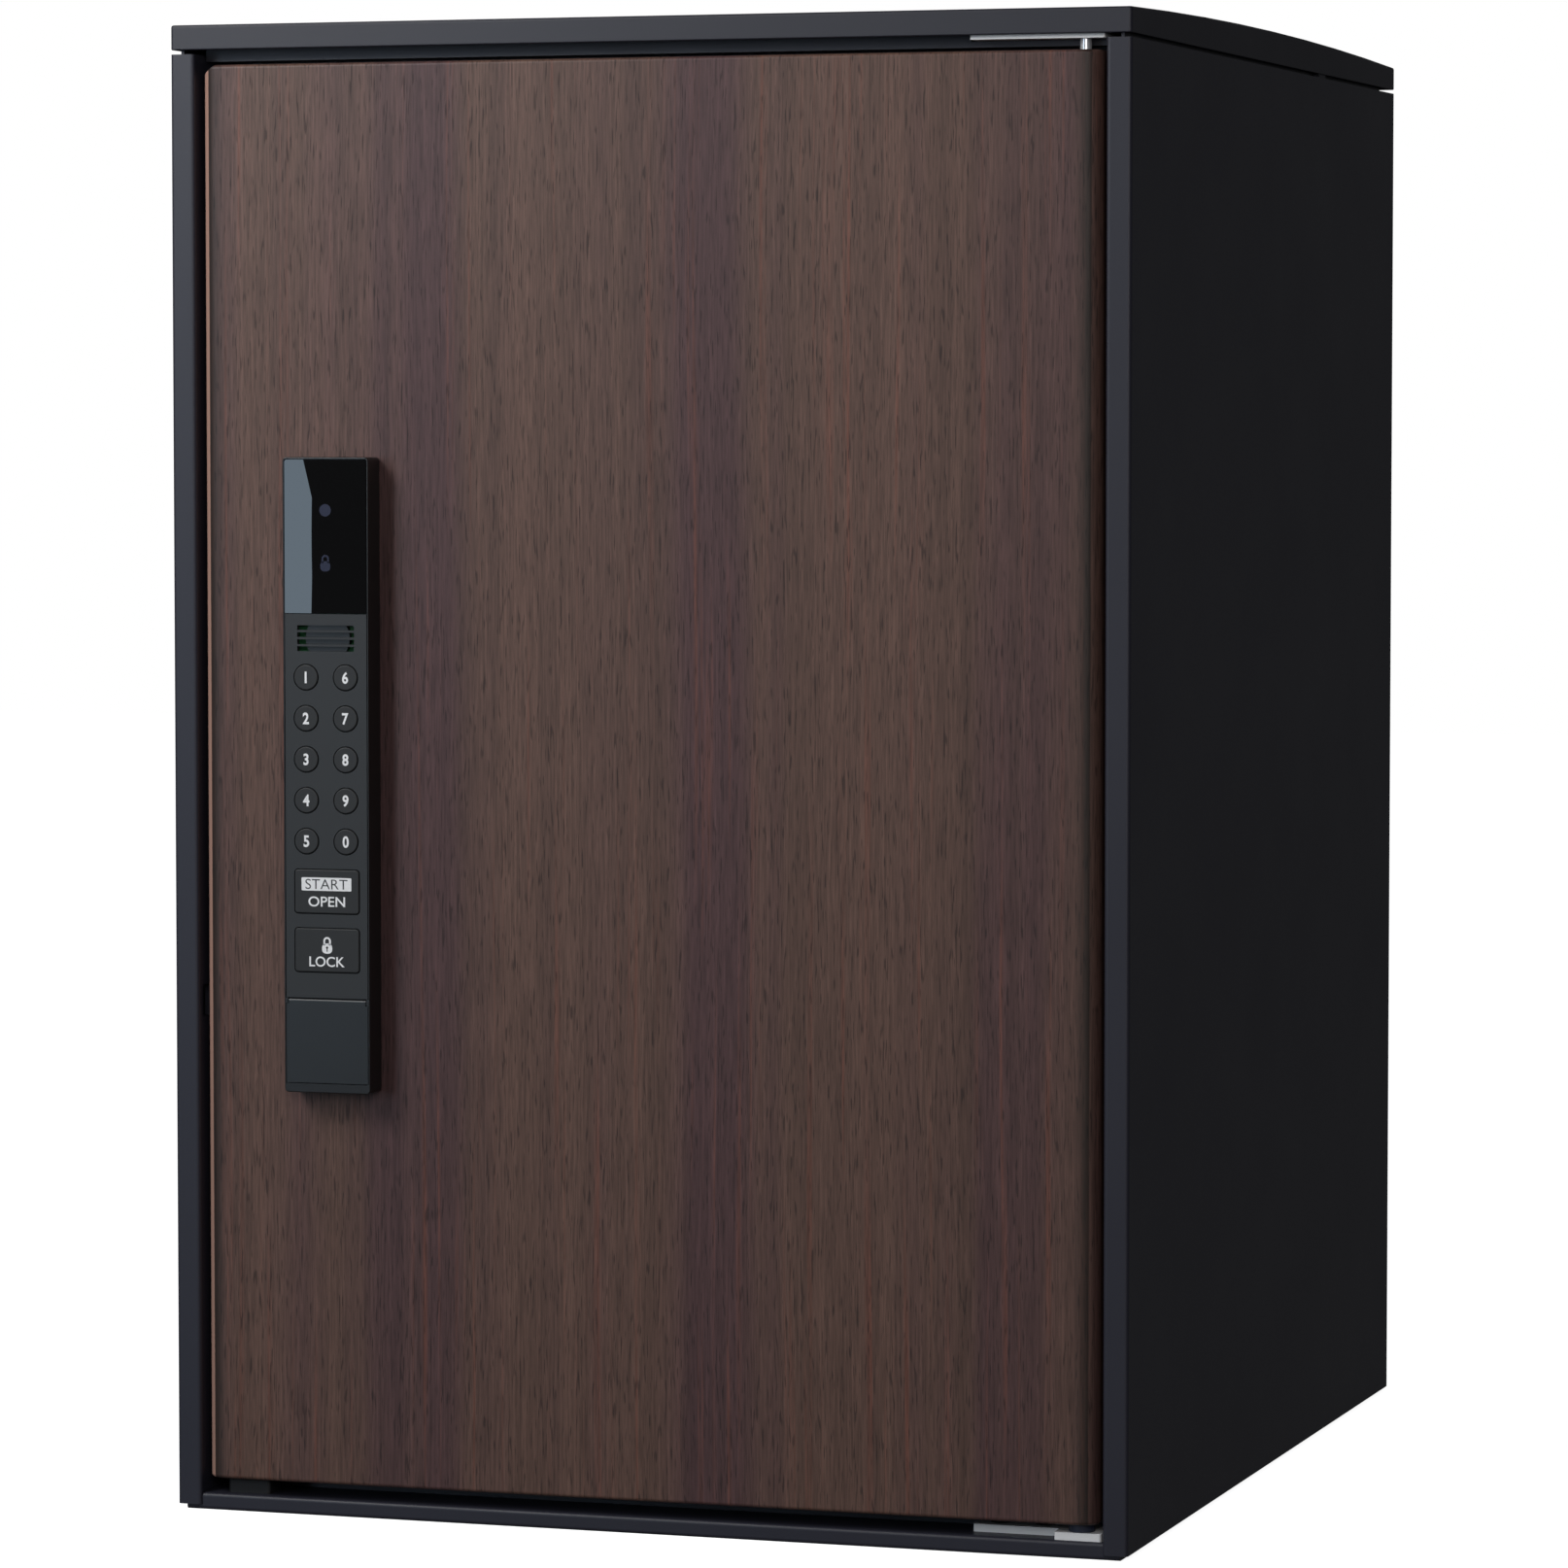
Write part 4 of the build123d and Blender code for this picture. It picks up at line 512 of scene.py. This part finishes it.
# --- screws with a cross recess -----------------------------------------------
def turned(profile, place, axis, recess):
    """A screw turned about its axis: (distance, radius) pairs from the middle of the head's face to
    the tip. The face sinks where min(|u|, |v|) is small, which makes the cross, deepest at the middle."""
    depth, radius = (np.array(column)[:, None] for column in zip(*profile))
    angle = np.linspace(0, 2 * np.pi, 32, endpoint=False)[None, :]
    u, v = radius * np.cos(angle), radius * np.sin(angle)
    arm = np.clip((recess * 0.34 - np.minimum(np.abs(u), np.abs(v))) / (recess * 0.12), 0, 1)
    reach = np.clip((recess - radius) / (recess * 0.3), 0, 1)
    sink = recess * 0.7 * arm * reach * (depth < recess * 0.6)
    along = depth + sink
    direction = np.array(axis, float)
    side = np.cross(direction, [1.0, 0.3, 0.2])
    side /= np.linalg.norm(side)
    other = np.cross(direction, side)
    return np.array(place) + along[..., None] * direction + u[..., None] * side + v[..., None] * other


def screw_set(name, node, body, rows):
    """Screws of one node, each with its head style, as one piece."""
    points, faces, start = [], [], 0
    for style, place, axis, radius, head, length in rows:
        inner = [(0.0, share * head * 0.62) for share in np.linspace(0, 1, 8)]
        if style == "flat":
            rest = [(0.0, head * 0.97), (0.15 * MM, head), (0.9 * radius, radius),
                    (length, radius), (length, 0.0)]
            recess = head * 0.6
        else:
            dome = [(1.8 * MM * (1 - math.cos(a)) * 0.5, head * (0.62 + 0.38 * math.sin(a)))
                    for a in np.linspace(0.2, math.pi / 2, 5)]
            rest = dome + [(1.8 * MM, head), (1.8 * MM, radius), (length, radius), (length, 0.0)]
            recess = head * 0.55
        profile = inner + rest
        points.append(turned(profile, place, axis, recess).reshape(-1, 3))
        faces += (quads(len(profile), 32) + start).tolist()
        start += len(profile) * 32
    made = fit_out(name, np.concatenate(points), faces, body, "zinc_screws", slot="zinc_screws", crease=30)
    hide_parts(node)


ROOF_SCREWS = 155 * MM             # the roof's screws, from the middle both ways


def cabinet_fasteners():
    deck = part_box("top_panel")[1].z - 1.2 * MM
    head = deck - 1.8 * MM
    rows = [("pan", (sx * ROOF_SCREWS, sy * ROOF_SCREWS, head), (0, 0, 1), 1.45 * MM, 3.0 * MM, 7.0 * MM)
            for sx in (-1, 1) for sy in (-1, 0, 1)]
    plate, top_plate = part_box("hinge_plate_bottom"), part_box("hinge_plate_top")
    y = (plate[0].y - 3 * MM + 11 * MM + plate[1].y) / 2 + 1 * MM
    for run in (9.0, 27.0):
        x = plate[0].x + run * MM
        rows.append(("flat", (x, y, plate[1].z), (0, 0, -1), 2.0 * MM, 4.0 * MM, 4.5 * MM))
        rows.append(("flat", (x, y, top_plate[0].z), (0, 0, 1), 2.0 * MM, 4.0 * MM, 4.2 * MM))
    screw_set("cabinet_screw_set", "cabinet_screws", "cabinet", rows)


def door_fasteners():
    low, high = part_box("door_liner")
    inset = 5 * MM
    rows = []
    for x in (low.x + inset, high.x - inset):
        for z in np.linspace(low.z + inset, high.z - inset, 5):
            rows.append(("flat", (x, high.y, z), (0, -1, 0), 1.45 * MM, 2.9 * MM, 6.0 * MM))
    house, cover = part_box("unit_housing"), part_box("key_cover")
    middle = (house[0].x + house[1].x) / 2
    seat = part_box("door_skin")[0].y + 1.0 * MM
    for side in (-1, 1):
        for z in (cover[1].z + 20 * MM, house[1].z - 40 * MM):
            rows.append(("pan", (middle + side * 13.65 * MM, seat + 1.6 * MM, z), (0, -1, 0),
                         1.15 * MM, 2.6 * MM, 7.6 * MM))
    screw_set("door_screw_set", "door_screws", "door", rows)


cabinet_fasteners()
door_fasteners()


# --- studio -------------------------------------------------------------------
GLOSS_SHARE = 0.05
CARD_EDGE, CARD_FAR = -1.075, -1.60     # the reflector's right edge, a little bent, and its left one
CARD_DEPTH, CARD_TOP = -2.54, 1.25
def seen_share(f):
    """How much of the white surroundings a ray sees: all by eye or through glass, a little in gloss,
    because black flags stand round the set."""
    rays = {name: f.node("ShaderNodeLightPath", output=f"Is {name} Ray")
            for name in ("Camera", "Transmission", "Glossy")}
    return rays["Camera"].most(rays["Transmission"]).most(rays["Glossy"] * GLOSS_SHARE)


def ground():
    """Pale floor: a flat grid, white to the eye with the locker's soft shadow on it."""
    f = Finish("studio_floor")
    speck = f.noise(f.place(3, 3, 3))
    lit = f.node("ShaderNodeBsdfDiffuse", None, {"Color": f.tone((0.9, 0.9, 0.9, 1), speck, 0.01)})
    white = f.node("ShaderNodeEmission", None, {"Color": (1, 1, 1, 1), "Strength": 0.93})
    seen = f.node("ShaderNodeAddShader", None, {0: lit, 1: white})
    dim = f.node("ShaderNodeBsdfDiffuse", None, {"Color": (0.10, 0.10, 0.10, 1)})
    both = f.node("ShaderNodeMixShader", None, {0: seen_share(f), 1: dim, 2: seen})
    f.node("ShaderNodeOutputMaterial", None, {"Surface": both})
    u, v = np.meshgrid(np.linspace(-6, 6, 25), np.linspace(-6, 6, 25))
    points = np.stack([u, v, np.zeros_like(u)], -1)
    mesh = bpy.data.meshes.new("studio_floor")
    mesh.from_pydata(points.reshape(-1, 3).tolist(), [], quads(25, 25, ring_columns=False).tolist())
    mesh.materials.append(f.material)
    floor = bpy.data.objects.new("studio_floor", mesh)
    bpy.context.scene.collection.objects.link(floor)


def card(name, corners, colour, strength):
    """A glowing reflector, seen only in reflections and as light: a flat sheet through four corners."""
    f = Finish(name)
    shine = f.node("ShaderNodeEmission", None, {"Color": colour, "Strength": strength})
    f.node("ShaderNodeOutputMaterial", None, {"Surface": shine})
    mesh = bpy.data.meshes.new(name)
    mesh.from_pydata(corners, [], [tuple(range(len(corners)))])
    mesh.materials.append(f.material)
    sheet = bpy.data.objects.new(name, mesh)
    bpy.context.scene.collection.objects.link(sheet)
    sheet.visible_camera = False
    sheet.visible_shadow = False


def softbox(name, place, aim, size, power, colour=(1, 1, 1)):
    lamp = bpy.data.lights.new(name, "AREA")
    lamp.shape, lamp.size, lamp.size_y = "RECTANGLE", size[0], size[1]
    lamp.energy, lamp.color = power, colour
    holder = bpy.data.objects.new(name, lamp)
    bpy.context.scene.collection.objects.link(holder)
    way = np.array(aim) - np.array(place)
    holder.location = place
    tilt, turn = math.atan2(math.hypot(way[0], way[1]), -way[2]), math.atan2(way[1], way[0]) - math.pi / 2
    holder.rotation_euler = (tilt, 0, turn)
    return holder


def studio():
    world = bpy.data.worlds.new("studio")
    bpy.context.scene.world = world
    f = Finish("studio", world)
    fill = f.node("ShaderNodeBackground", None, {"Color": (0.86, 0.90, 1.0, 1), "Strength": 0.10})
    dark = f.node("ShaderNodeBackground", None, {"Color": (0.86, 0.90, 1.0, 1), "Strength": 0.02})
    room = f.node("ShaderNodeMixShader", None,
                  {0: f.node("ShaderNodeLightPath", output="Is Glossy Ray"), 1: fill, 2: dark})
    white = f.node("ShaderNodeBackground", None, {"Color": (1, 1, 1, 1), "Strength": 1.0})
    sight = f.node("ShaderNodeMixShader", None, {0: seen_share(f), 1: room, 2: white})
    f.node("ShaderNodeOutputWorld", None, {"Surface": sight})
    softbox("key_light", (-0.62, -0.95, 0.98), (-0.06, -0.22, 0.42), (0.45, 0.45), 6.6)
    softbox("front_light", (0.75, -2.5, 1.1), (0.0, -0.22, 0.25), (1.1, 1.1), 13, (1.0, 0.97, 0.95))
    edge = [(CARD_EDGE, 0.05), (CARD_EDGE + 0.005, 0.37), (CARD_EDGE - 0.013, 0.44),
            (CARD_EDGE - 0.013, CARD_TOP), (CARD_FAR, CARD_TOP), (CARD_FAR, 0.05)]
    card("left_card", [(x, CARD_DEPTH, z) for x, z in edge[-1:] + edge[:-1]], (0.66, 0.83, 1.0, 1), 4.4)
    ground()


studio()
camera_data = bpy.data.cameras.new("camera")
camera_data.sensor_width, camera_data.lens = 36.0, 146.49
camera = bpy.data.objects.new("camera", camera_data)
bpy.context.scene.collection.objects.link(camera)
camera.location = (0.8105, -2.5444, 0.4341)
camera.rotation_euler = (math.radians(90 - 3.31), 0, math.radians(17.97))
bpy.context.scene.camera = camera
bpy.context.scene.view_settings.view_transform = "Standard"
